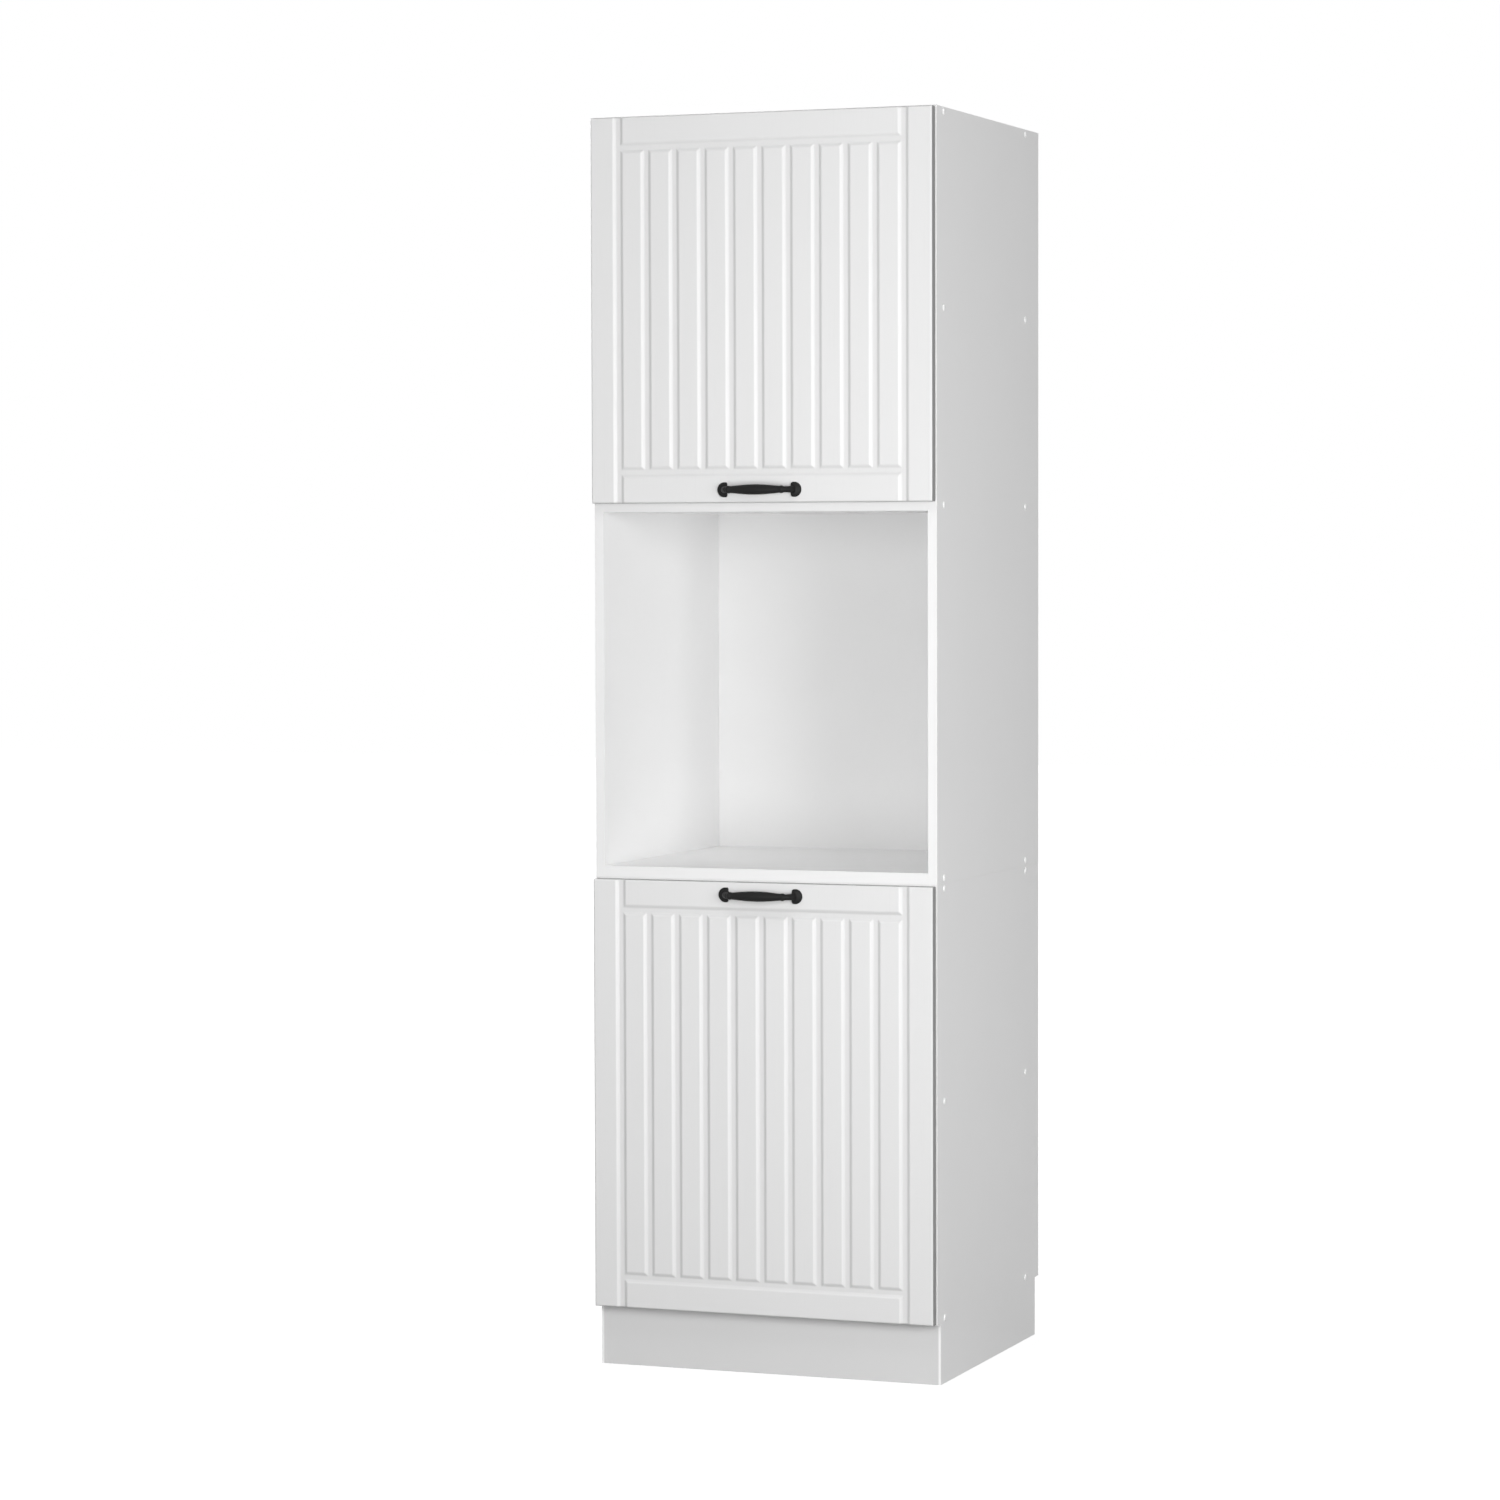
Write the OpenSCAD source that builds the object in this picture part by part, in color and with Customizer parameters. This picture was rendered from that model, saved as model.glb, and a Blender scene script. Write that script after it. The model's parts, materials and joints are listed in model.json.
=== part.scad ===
// Tall oven housing: a two-part carcass with an open oven niche between two hinged doors.
// Millimetres. +Z is up, the doors face -Y, +X is the right-hand side seen from the front.
// The origin lies on the floor, under the middle of the whole object.

/* [Carcass] */
// Width over both side panels
carcass_w = 600; // [500:10:800]
// Depth of the side panels, from front edge to rear edge
panel_depth = 550; // [500:10:650]
// Thickness of the side panels, shelves and lower boards
board_t = 16; // [16:1:19]
// Thickness of the boards under and over the oven niche
niche_board_t = 19; // [16:1:25]
// Height of the lower carcass above the plinth
lower_h = 720; // [640:10:780]
// Height of the upper carcass
upper_h = 1260; // [1180:10:1400]
// Clear height of the oven niche
niche_h = 588; // [560:1:600]
// Clear height under the lower shelf
lower_shelf_up = 340; // [300:5:380]
// Clear height under the upper shelf
upper_shelf_up = 302; // [260:1:340]
// Distance of the loose shelves' front edge behind the carcass front
shelf_setback = 10; // [2:1:20]

/* [Back panel] */
// Thickness of the back panels
back_t = 3; // [3:0.5:6]
// Distance from the rear edge of the side panels to the back panel
back_setback = 22; // [18:1:30]
// Depth of the grooves that hold the back panels
back_groove_d = 7; // [4:1:9]

/* [Plinth] */
// Height of the plinth
plinth_h = 100; // [80:5:150]
// Distance of the front plinth board behind the carcass front
plinth_front_recess = 16; // [10:1:50]
// Distance of the rear plinth board ahead of the side panels' rear edge
plinth_rear_recess = 20; // [10:1:40]

/* [Doors] */
// Thickness of the doors
door_t = 16; // [16:1:19]
// Gap between a door and the carcass front
door_gap = 2; // [1.5:0.5:2.5]
// Distance from a door's edge to the outline of the carcass
door_reveal = 2; // [1:0.5:3]
// Overlap of the upper door over the niche's ceiling board
upper_door_overlap = 4; // [2:1:8]
// Width of the flat face of the stiles
stile_w = 40; // [30:1:60]
// Height of the flat face of the rails
rail_w = 42; // [36:1:60]
// Width of the milled grooves at the face
groove_w = 18; // [12:1:24]
// Width of the flat base of the milled grooves
groove_base_w = 8; // [4:1:10]
// Depth of the milled grooves
groove_d = 3; // [1:0.5:3.5]
// Aimed distance between two grooves of the slatted field
slat_pitch_aim = 50; // [40:5:80]
// Rounding of the doors' front edges
door_edge_r = 2; // [0.5:0.5:2.5]

/* [Handles] */
// Distance between the two screws of a handle
handle_spacing = 128; // [128:1:160]
// Distance from a rosette's screw to the rosette's centre, towards the middle
rosette_shift = 3; // [0:1:4]
// Diameter of the rosettes
rosette_d = 25; // [22:1:28]
// Height of the rosettes at their centre
rosette_h = 6; // [5:0.5:8]
// Distance from a rosette's centre to its cut inner side
rosette_cut = 5; // [4:1:8]
// Distance of the bar's axis from the door
bar_out = 21.2; // [18:0.2:30]
// Thickness of the bar in the middle
bar_mid_d = 17; // [12:0.2:20]
// Thickness of the bar at its ends
bar_end_d = 11; // [7:0.2:12]
// Length of the bar between its two beads
bar_len = 92; // [70:1:96]
// Diameter of the beads
bead_d = 12.6; // [12.2:0.2:15]
// Thread diameter of the handle screws
handle_screw_d = 4; // [3:0.5:5]

/* [Hinges] */
// Diameter of the hinge cups
cup_d = 35; // [35:1:40]
// Depth of the hinge cups in the door
cup_depth = 12; // [11:0.5:12.5]
// Distance from the door's edge to the edge of the cup
cup_edge = 5; // [4:0.5:7]
// Distance from a door's end to the middle of its hinge
hinge_end = 96; // [70:1:140]
// Distance from the carcass front to the screw row of the hinge plates
plate_row = 37; // [32:1:45]

/* [Fastenings] */
// Distance from the carcass front to the front row of carcass screws
screw_front = 36; // [32:1:60]
// Distance from the side panels' rear edge to the rear row of carcass screws
screw_rear = 74; // [60:1:120]
// Diameter of the screw caps on the side panels
cap_d = 11; // [10.5:0.5:14]
// Height of the screw caps over the side panels
cap_h = 2.2; // [0.5:0.1:3]
// Distance from a side panel's inner face to the middle of its wall bracket
bracket_inset = 84; // [30:1:120]
// Diameter of the wall brackets' holes for the wall screws
bracket_hole_d = 5.5; // [4:0.5:6.5]

/* [Hidden] */
$fn = 32;

// Colours of the finishes
white_board = "whitesmoke";
white_door = "white";
back_white = "gainsboro";
black_iron = [0.13, 0.13, 0.13];
bright_steel = "silver";
dark_steel = "dimgray";
clear_pad = "aliceblue";
block_white = "ivory";

// Clearances, the overlap of joined shapes, and how far a cut runs past the face that it opens
screw_fit = 0.05;
pin_fit = 0.05;
pad_fit = 0.3;
groove_fit = 0.2;
panel_side_fit = 0.5;
eps = 0.01;
over = 1;

// Heights of the carcass, from the floor up
lower_top_z = plinth_h + lower_h;
total_h = lower_top_z + upper_h;
niche_floor_z = lower_top_z + niche_board_t;
niche_ceiling_z = niche_floor_z + niche_h;
upper_floor_z = niche_ceiling_z + niche_board_t;
bottom_z = plinth_h;
lower_shelf_z = bottom_z + board_t + lower_shelf_up;
upper_shelf_z = upper_floor_z + upper_shelf_up;

// Each board as the height of its underside and its thickness
lower_boards = [[bottom_z, board_t], [lower_shelf_z, board_t], [lower_top_z - board_t, board_t]];
upper_boards = [
    [lower_top_z, niche_board_t], [niche_ceiling_z, niche_board_t],
    [upper_shelf_z, board_t], [total_h - board_t, board_t]
];
all_boards = concat(lower_boards, upper_boards);
function middle_z(board) = board[0] + board[1] / 2;

// Widths and depths of the carcass; the carcass front is y = 0 inside the modules
half_w = carcass_w / 2;
inner_half_w = half_w - board_t;
board_depth = panel_depth - back_setback - back_t;
screw_rows = [screw_front, panel_depth - screw_rear];
plinth_front_y = plinth_front_recess;
plinth_rear_y = panel_depth - plinth_rear_recess - board_t;

// Doors
door_w = carcass_w - 2 * door_reveal;
door_back_y = -door_gap;
door_face_y = door_back_y - door_t;
lower_door_z = plinth_h + door_reveal;
lower_door_h = lower_h - 2 * door_reveal;
upper_door_z = upper_floor_z - upper_door_overlap;
upper_door_h = total_h - door_reveal - upper_door_z;
field_w = door_w - 2 * stile_w - 2 * groove_w;
slat_count = max(1, round((field_w + groove_w) / slat_pitch_aim));
slat_pitch = (field_w + groove_w) / slat_count;
frame_groove_x = door_w / 2 - stile_w - groove_w / 2;

// Handles
handle_proj = bar_out + bar_mid_d / 2;
lower_handle_z = lower_door_z + lower_door_h - rail_w / 2;
upper_handle_z = upper_door_z + rail_w / 2;
rosette_x = handle_spacing / 2 - rosette_shift;
rosette_rim_h = 2;
bar_steps = 12;
bar_swell = 1.2;
neck_in = 2;
neck_seat = 3;
neck_flare = 0.6;
thread_depth = 4.5;
thread_rest = 0.5;
handle_hole_d = handle_screw_d + 0.5;
handle_screw_head_r = 4.5;
handle_screw_head_h = 1.4;

// The whole object's middle lies on y = 0
front_y = (door_gap + door_t + handle_proj - panel_depth) / 2;

// Hinges: the cup pin and the arm pin carry the ends of one link
cup_x = -door_w / 2 + cup_edge + cup_d / 2;
cup_wall = 1;
cup_rim_t = 1;
cup_rim_w = 0.6;
cup_pin_in = 10;
cup_pin_depth = 2;
cup_pin_x = cup_x - cup_d / 2 + cup_pin_in;
cup_pin_y = door_back_y - cup_pin_depth;
cup_screw_x = cup_x + 9.5;
cup_screw_z = 22.5;
cup_screw_len = 11;
wing_x = [cup_x + 3, cup_x + 15.5];
wing_half_h = cup_screw_z + 6;
link_reach = 30;
arm_pin_x = cup_pin_x + link_reach;
arm_pin_y = 2;
hinge_pin_r = 1.5;
knuckle_r = 2.7;
link_half_t = 1;
link_half_h = 3.5;
knuckle_gap = 0.6;
fork_half_h = 5.6;
fork_gap = 0.3;
fork_slot = 6;
ear_half = 3.2;
ear_gap = 0.5;
ear_t = 3;
cup_ears_z = link_half_h + ear_gap;
plate_t = 3;
plate_half_w = 8;
plate_half_h = 23;
plate_screw_z = 16;
plate_screw_len = 14;
ridge_t = 5;
ridge_half_h = 6;
ridge_len = 46;
arm_t = 9;
arm_len = 44;
arm_front_y = plate_row - ridge_len / 2;
arm_screw_len = arm_t + ridge_t;
lower_hinge_z = [lower_door_z + hinge_end, lower_door_z + lower_door_h - hinge_end];
upper_hinge_z = [upper_door_z + hinge_end, upper_door_z + upper_door_h - hinge_end];

// Wood screws and connecting screws
wood_screw_r = 1.75;
wood_head_r = 3.5;
wood_head_h = 2;
confirmat_len = 50;
confirmat_head_r = 5;
confirmat_head_h = 3;
confirmat_neck_r = 3.5;
confirmat_thread_r = 2.6;
confirmat_sunk = 0.3;
nail_r = 0.8;
nail_head_r = 2;
nail_head_h = 0.6;
nail_len = 20;
nail_count = 4;
nail_inset = 44;
nail_half_run = inner_half_w - nail_inset;
nail_x = [for (i = [0:nail_count - 1]) nail_half_run * (2 * i / (nail_count - 1) - 1)];

// Small pieces
block_side = 20;
block_h = 40;
block_screw_len = 26;
block_screw_dz = 8;
block_middles = [plinth_front_y + board_t + block_side / 2, plinth_rear_y - block_side / 2];
bracket_leg = 30;
bracket_w = 24;
bracket_t = 2;
bracket_hole_out = 18;
bracket_screw_dx = 6;
bracket_screw_len = 14;
bracket_x = inner_half_w - bracket_inset;
bracket_top_z = total_h - board_t;
joining_screw_len = 30;
joining_inset = 86;
joining_x = inner_half_w - joining_inset;
pad_r = 4;
pad_in = 7;
pad_x = inner_half_w + pad_in;
pad_end = 40;

// Puts a shape that is drawn from the carcass front into the object's frame
module in_frame() {
    translate([0, front_y, 0]) children();
}

// A block between two corners
module block(low, high) {
    translate(low) cube(high - low);
}

// A cylinder of radius r from x0 to x1
module bar_x(x0, x1, y, z, r) {
    translate([x0, y, z]) rotate([0, 90, 0]) cylinder(h = x1 - x0, r = r);
}

// A cylinder of radius r from y0 to y1
module bar_y(y0, y1, x, z, r) {
    translate([x, y1, z]) rotate([90, 0, 0]) cylinder(h = y1 - y0, r = r);
}

// A countersunk wood screw with its head's face at the origin, pointing along +Z
module wood_screw(length) {
    cylinder(h = wood_head_h, r1 = wood_head_r, r2 = wood_screw_r);
    translate([0, 0, wood_head_h - eps]) cylinder(h = length - wood_head_h + eps, r = wood_screw_r);
}

// The hole that a wood screw fills
module wood_screw_hole(length) {
    cylinder(h = wood_head_h, r1 = wood_head_r + screw_fit, r2 = wood_screw_r + screw_fit);
    translate([0, 0, -over]) cylinder(h = over + eps, r = wood_head_r + screw_fit);
    cylinder(h = length, r = wood_screw_r + screw_fit);
}

// Carcass screws

// A connecting screw that enters at the face of the right side panel and points along -X
module confirmat_right(y, z, grow) {
    face = half_w - confirmat_sunk;
    bar_x(face - confirmat_head_h, face + grow, y, z, confirmat_head_r + grow);
    bar_x(half_w - board_t, face - confirmat_head_h + eps, y, z, confirmat_neck_r + grow);
    bar_x(face - confirmat_len - grow, half_w - board_t + eps, y, z, confirmat_thread_r + grow);
}

// The same screw on the right or on the left
module confirmat(side, y, z, grow = 0) {
    if (side > 0) confirmat_right(y, z, grow);
    else mirror([1, 0, 0]) confirmat_right(y, z, grow);
}

// The holes for the connecting screws of some boards
module confirmat_holes(boards, sides) {
    for (board = boards, y = screw_rows, side = sides) {
        confirmat(side, y, middle_z(board), screw_fit);
        bar_x(side * half_w - over, side * half_w + over, y, middle_z(board), confirmat_head_r + screw_fit);
    }
}

module carcass_screws() {
    color(bright_steel) in_frame()
        for (board = all_boards, y = screw_rows, side = [-1, 1])
            confirmat(side, y, middle_z(board));
}

// A low dome with a short rim, standing on the face of a side panel
module cap_right(y, z) {
    translate([half_w, y, z]) rotate([0, 90, 0]) rotate_extrude()
        polygon([
            [0, 0], [cap_d / 2, 0], [cap_d / 2, cap_h * 0.4], [cap_d * 0.42, cap_h * 0.75],
            [cap_d * 0.3, cap_h * 0.92], [0, cap_h]
        ]);
}

module screw_caps() {
    color(white_door) in_frame()
        for (board = all_boards, y = screw_rows) {
            cap_right(y, middle_z(board));
            mirror([1, 0, 0]) cap_right(y, middle_z(board));
        }
}

// Carcass boards

// The groove for a back panel in the right side panel
module back_groove(z0, z1) {
    block(
        [inner_half_w - over, board_depth, z0],
        [inner_half_w + back_groove_d, board_depth + back_t + groove_fit, z1]
    );
}

// The holes of two hinge plates in the left side panel
module hinge_plate_holes(heights) {
    for (z = heights, dz = [-plate_screw_z, plate_screw_z])
        bar_x(
            -inner_half_w - plate_screw_len + plate_t, -inner_half_w + over,
            plate_row, z + dz, wood_screw_r + screw_fit
        );
}

// The screw holes of the plinth blocks in the right side panel
module block_side_holes() {
    for (y = block_middles)
        bar_x(
            inner_half_w - over, inner_half_w + block_screw_len - block_side,
            y, plinth_h / 2 + block_screw_dz, wood_screw_r + screw_fit
        );
}

// A right side panel from the floor, with its toe notch in front and its skirting notch behind
module side_right_lower_shape() {
    difference() {
        block([inner_half_w, 0, 0], [half_w, panel_depth, lower_top_z]);
        block([inner_half_w - over, -over, -over], [half_w + over, plinth_front_recess, plinth_h]);
        block(
            [inner_half_w - over, panel_depth - plinth_rear_recess, -over],
            [half_w + over, panel_depth + over, plinth_h]
        );
        back_groove(plinth_h, lower_top_z + over);
        confirmat_holes(lower_boards, [1]);
        block_side_holes();
    }
}

module side_right_upper_shape() {
    difference() {
        block([inner_half_w, 0, lower_top_z], [half_w, panel_depth, total_h]);
        back_groove(lower_top_z - over, total_h + over);
        confirmat_holes(upper_boards, [1]);
    }
}

module side_right_lower() {
    color(white_board) in_frame() side_right_lower_shape();
}

module side_left_lower() {
    color(white_board) in_frame() difference() {
        mirror([1, 0, 0]) side_right_lower_shape();
        hinge_plate_holes(lower_hinge_z);
    }
}

module side_right_upper() {
    color(white_board) in_frame() side_right_upper_shape();
}

module side_left_upper() {
    color(white_board) in_frame() difference() {
        mirror([1, 0, 0]) side_right_upper_shape();
        hinge_plate_holes(upper_hinge_z);
    }
}

// A board between the side panels, with its screw holes and the nail holes in its rear edge
module carcass_board(board, setback = 0) {
    difference() {
        block([-inner_half_w, setback, board[0]], [inner_half_w, board_depth, board[0] + board[1]]);
        confirmat_holes([board], [-1, 1]);
        for (x = nail_x)
            bar_y(
                board_depth + back_t - nail_len, board_depth + over,
                x, middle_z(board), nail_r + screw_fit
            );
    }
}

module bottom_board() {
    color(white_board) in_frame() carcass_board(lower_boards[0]);
}

module lower_shelf() {
    color(white_board) in_frame() carcass_board(lower_boards[1], shelf_setback);
}

module lower_top_board() {
    color(white_board) in_frame() difference() {
        carcass_board(lower_boards[2]);
        joining_screw_holes();
    }
}

module niche_floor_board() {
    color(white_board) in_frame() difference() {
        carcass_board(upper_boards[0]);
        joining_screw_holes();
    }
}

module niche_ceiling_board() {
    color(white_board) in_frame() carcass_board(upper_boards[1]);
}

module upper_shelf() {
    color(white_board) in_frame() carcass_board(upper_boards[2], shelf_setback);
}

module top_board() {
    color(white_board) in_frame() difference() {
        carcass_board(upper_boards[3]);
        for (side = [-1, 1]) bracket_top_screws(side) wood_screw_hole(bracket_screw_len);
    }
}

// A back panel that slides in the side panels' grooves
module back_panel(z0, z1, boards) {
    difference() {
        block(
            [-inner_half_w - back_groove_d + panel_side_fit, board_depth, z0],
            [inner_half_w + back_groove_d - panel_side_fit, board_depth + back_t, z1]
        );
        for (board = boards, x = nail_x)
            bar_y(board_depth - over, board_depth + back_t + over, x, middle_z(board), nail_r + screw_fit);
    }
}

module lower_back_panel() {
    color(back_white) in_frame() back_panel(plinth_h, lower_top_z, lower_boards);
}

module upper_back_panel() {
    color(back_white) in_frame() difference() {
        back_panel(lower_top_z, total_h, upper_boards);
        for (side = [-1, 1]) bracket_wall_hole(side);
    }
}

module back_panel_nails() {
    color(bright_steel) in_frame() for (board = all_boards, x = nail_x) {
        bar_y(board_depth + back_t - nail_len, board_depth + back_t + eps, x, middle_z(board), nail_r);
        bar_y(board_depth + back_t, board_depth + back_t + nail_head_h, x, middle_z(board), nail_head_r);
    }
}

// Screws that join the lower carcass to the upper one, driven from below
module joining_screw_places() {
    for (x = [-joining_x, joining_x], y = screw_rows) translate([x, y, lower_top_z - board_t]) children();
}

module joining_screw_holes() {
    joining_screw_places() wood_screw_hole(joining_screw_len);
}

module joining_screws() {
    color(bright_steel) in_frame() joining_screw_places() wood_screw(joining_screw_len);
}

// Plinth

// A plinth board with the screw holes of its two corner blocks in the face towards the blocks
module plinth_board(y0, inward) {
    face = inward > 0 ? y0 + board_t : y0;
    deep = block_screw_len - block_side;
    difference() {
        block([-inner_half_w, y0, 0], [inner_half_w, y0 + board_t, plinth_h]);
        for (side = [-1, 1])
            bar_y(
                inward > 0 ? face - deep : face - over, inward > 0 ? face + over : face + deep,
                side * (inner_half_w - block_side / 2), plinth_h / 2 - block_screw_dz,
                wood_screw_r + screw_fit
            );
    }
}

module plinth_front() {
    color(white_board) in_frame() plinth_board(plinth_front_y, 1);
}

module plinth_rear() {
    color(white_board) in_frame() plinth_board(plinth_rear_y, -1);
}

// The screws of the corner blocks; outward is the direction in y from the block to its plinth board
module block_screws(y, side, outward) {
    translate([side * (inner_half_w - block_side), y, plinth_h / 2 + block_screw_dz])
        rotate([0, side * 90, 0]) children();
    translate([
        side * (inner_half_w - block_side / 2), y - outward * block_side / 2, plinth_h / 2 - block_screw_dz
    ])
        rotate([-outward * 90, 0, 0]) children();
}

module all_block_screws() {
    for (side = [-1, 1]) {
        block_screws(block_middles[0], side, -1) children();
        block_screws(block_middles[1], side, 1) children();
    }
}

module plinth_blocks() {
    color(block_white) in_frame() difference() {
        for (side = [-1, 1], y = block_middles)
            translate([side * (inner_half_w - block_side / 2), y, plinth_h / 2])
                cube([block_side, block_side, block_h], center = true);
        all_block_screws() wood_screw_hole(block_screw_len);
    }
}

module plinth_block_screws() {
    color(bright_steel) in_frame() all_block_screws() wood_screw(block_screw_len);
}

// Wall brackets under the top board, against the back panel

// The place of the two screws that hold a bracket to the top board, pointing up
module bracket_top_screws(side) {
    for (dx = [-bracket_screw_dx, bracket_screw_dx])
        translate([side * bracket_x + dx, board_depth - bracket_hole_out, bracket_top_z - bracket_t])
            children();
}

module bracket_wall_hole(side) {
    bar_y(
        board_depth - bracket_t - over, board_depth + back_t + over,
        side * bracket_x, bracket_top_z - bracket_hole_out, bracket_hole_d / 2
    );
}

module wall_bracket(side) {
    x = side * bracket_x;
    color(bright_steel) in_frame() difference() {
        union() {
            block(
                [x - bracket_w / 2, board_depth - bracket_leg, bracket_top_z - bracket_t],
                [x + bracket_w / 2, board_depth, bracket_top_z]
            );
            block(
                [x - bracket_w / 2, board_depth - bracket_t, bracket_top_z - bracket_leg],
                [x + bracket_w / 2, board_depth, bracket_top_z]
            );
        }
        bracket_top_screws(side) wood_screw_hole(bracket_screw_len);
        bracket_wall_hole(side);
    }
}

module wall_bracket_left() {
    wall_bracket(-1);
}

module wall_bracket_right() {
    wall_bracket(1);
}

module wall_bracket_screws() {
    color(bright_steel) in_frame()
        for (side = [-1, 1]) bracket_top_screws(side) wood_screw(bracket_screw_len);
}

// Hinges, each drawn at its own height

// The two screws of a hinge plate, pointing into the left side panel
module plate_screws(z) {
    for (dz = [-plate_screw_z, plate_screw_z])
        translate([-inner_half_w + plate_t, plate_row, z + dz]) rotate([0, -90, 0]) children();
}

// The screw that clamps a hinge arm on its plate
module arm_screw(z) {
    translate([-inner_half_w + plate_t + ridge_t + arm_t, plate_row, z]) rotate([0, -90, 0]) children();
}

module hinge_plate(z) {
    color(bright_steel) in_frame() difference() {
        union() {
            block(
                [-inner_half_w, plate_row - plate_half_w, z - plate_half_h],
                [-inner_half_w + plate_t, plate_row + plate_half_w, z + plate_half_h]
            );
            block(
                [-inner_half_w, arm_front_y, z - ridge_half_h],
                [-inner_half_w + plate_t + ridge_t, arm_front_y + ridge_len, z + ridge_half_h]
            );
        }
        plate_screws(z) wood_screw_hole(plate_screw_len);
        arm_screw(z) wood_screw_hole(arm_screw_len);
    }
}

// Plan outline of an arm: a straight run on the plate, and a crank forward to a nose round the pin
crank_start = 4;
crank_in = 4;
crank_y = 6;
nose_lift = 2;
nose_t = 5;
bend_out = 2;
bend_y = [6, 10];
function arm_outline() = let (
        x0 = -inner_half_w + plate_t + ridge_t,
        x1 = x0 + arm_t,
        rear_y = arm_front_y + arm_len
    ) [
        [x0, rear_y], [x0, arm_front_y + crank_start], [x0 + crank_in, arm_pin_y + crank_y],
        [arm_pin_x - knuckle_r, arm_pin_y + nose_lift], [arm_pin_x + knuckle_r, arm_pin_y],
        [arm_pin_x + knuckle_r, arm_pin_y + nose_t], [x1 + bend_out, arm_front_y + bend_y[0]],
        [x1, arm_front_y + bend_y[1]], [x1, rear_y]
    ];

module hinge_arm(z) {
    color(bright_steel) in_frame() difference() {
        union() {
            translate([0, 0, z - fork_half_h])
                linear_extrude(height = 2 * fork_half_h) polygon(arm_outline());
            translate([arm_pin_x, arm_pin_y, z - fork_half_h]) cylinder(h = 2 * fork_half_h, r = knuckle_r);
        }
        translate([arm_pin_x, arm_pin_y, z - link_half_h - fork_gap])
            cylinder(h = 2 * (link_half_h + fork_gap), r = knuckle_r + knuckle_gap);
        translate([arm_pin_x - fork_slot, arm_pin_y - fork_slot, z - link_half_h - fork_gap])
            cube([fork_slot, fork_slot + knuckle_r, 2 * (link_half_h + fork_gap)]);
        translate([arm_pin_x, arm_pin_y, z - fork_half_h - over])
            cylinder(h = 2 * (fork_half_h + over), r = hinge_pin_r + eps);
        arm_screw(z) wood_screw_hole(arm_screw_len);
    }
}

// The link between the two pins, drawn along +X from the cup pin and then turned to the arm pin
module hinge_link(z) {
    run = [arm_pin_x - cup_pin_x, arm_pin_y - cup_pin_y];
    color(bright_steel) in_frame()
        translate([cup_pin_x, cup_pin_y, z - link_half_h]) rotate([0, 0, atan2(run[1], run[0])])
            linear_extrude(height = 2 * link_half_h) difference() {
                union() {
                    rotate(180) circle(r = knuckle_r);
                    translate([norm(run), 0]) circle(r = knuckle_r);
                    translate([knuckle_r / 2, -link_half_t]) square([norm(run) - knuckle_r, 2 * link_half_t]);
                }
                rotate(180) circle(r = hinge_pin_r + pin_fit);
                translate([norm(run), 0]) circle(r = hinge_pin_r + pin_fit);
            }
}

// The two screws of a hinge cup, pointing into the door
module cup_screws(z) {
    for (dz = [-cup_screw_z, cup_screw_z])
        translate([cup_screw_x, door_back_y + cup_rim_t, z + dz]) rotate([90, 0, 0]) children();
}

module hinge_cup(z) {
    color(bright_steel) in_frame() difference() {
        union() {
            difference() {
                bar_y(door_back_y - cup_depth, door_back_y, cup_x, z, cup_d / 2);
                bar_y(door_back_y - cup_depth + cup_wall, door_back_y + over, cup_x, z, cup_d / 2 - cup_wall);
            }
            // Rim and the two wings with the screws
            difference() {
                union() {
                    bar_y(door_back_y, door_back_y + cup_rim_t, cup_x, z, cup_d / 2 + cup_rim_w);
                    block(
                        [wing_x[0], door_back_y, z - wing_half_h],
                        [wing_x[1], door_back_y + cup_rim_t, z + wing_half_h]
                    );
                }
                bar_y(door_back_y - over, door_back_y + cup_rim_t + over, cup_x, z, cup_d / 2 - cup_wall);
            }
            // Ears that hold the pin
            for (side = [-1, 1])
                translate([
                    cup_pin_x - ear_half, door_back_y - cup_depth + cup_wall - eps,
                    side > 0 ? z + cup_ears_z : z - cup_ears_z - ear_t
                ])
                    cube([2 * ear_half, cup_depth - cup_wall + eps, ear_t]);
        }
        translate([cup_pin_x, cup_pin_y, z - cup_ears_z - ear_t - over])
            cylinder(h = 2 * (cup_ears_z + ear_t + over), r = hinge_pin_r + eps);
        cup_screws(z) wood_screw_hole(cup_screw_len);
    }
}

module arm_pin(z) {
    translate([arm_pin_x, arm_pin_y, z - fork_half_h]) cylinder(h = 2 * fork_half_h, r = hinge_pin_r);
}

module cup_pin(z) {
    translate([cup_pin_x, cup_pin_y, z - cup_ears_z - ear_t])
        cylinder(h = 2 * (cup_ears_z + ear_t), r = hinge_pin_r);
}

module hinge_plate_lower_bottom() {
    hinge_plate(lower_hinge_z[0]);
}

module hinge_plate_lower_top() {
    hinge_plate(lower_hinge_z[1]);
}

module hinge_plate_upper_bottom() {
    hinge_plate(upper_hinge_z[0]);
}

module hinge_plate_upper_top() {
    hinge_plate(upper_hinge_z[1]);
}

module hinge_arm_lower_bottom() {
    hinge_arm(lower_hinge_z[0]);
}

module hinge_arm_lower_top() {
    hinge_arm(lower_hinge_z[1]);
}

module hinge_arm_upper_bottom() {
    hinge_arm(upper_hinge_z[0]);
}

module hinge_arm_upper_top() {
    hinge_arm(upper_hinge_z[1]);
}

module hinge_link_lower_bottom() {
    hinge_link(lower_hinge_z[0]);
}

module hinge_link_lower_top() {
    hinge_link(lower_hinge_z[1]);
}

module hinge_link_upper_bottom() {
    hinge_link(upper_hinge_z[0]);
}

module hinge_link_upper_top() {
    hinge_link(upper_hinge_z[1]);
}

module hinge_cup_lower_bottom() {
    hinge_cup(lower_hinge_z[0]);
}

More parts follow.
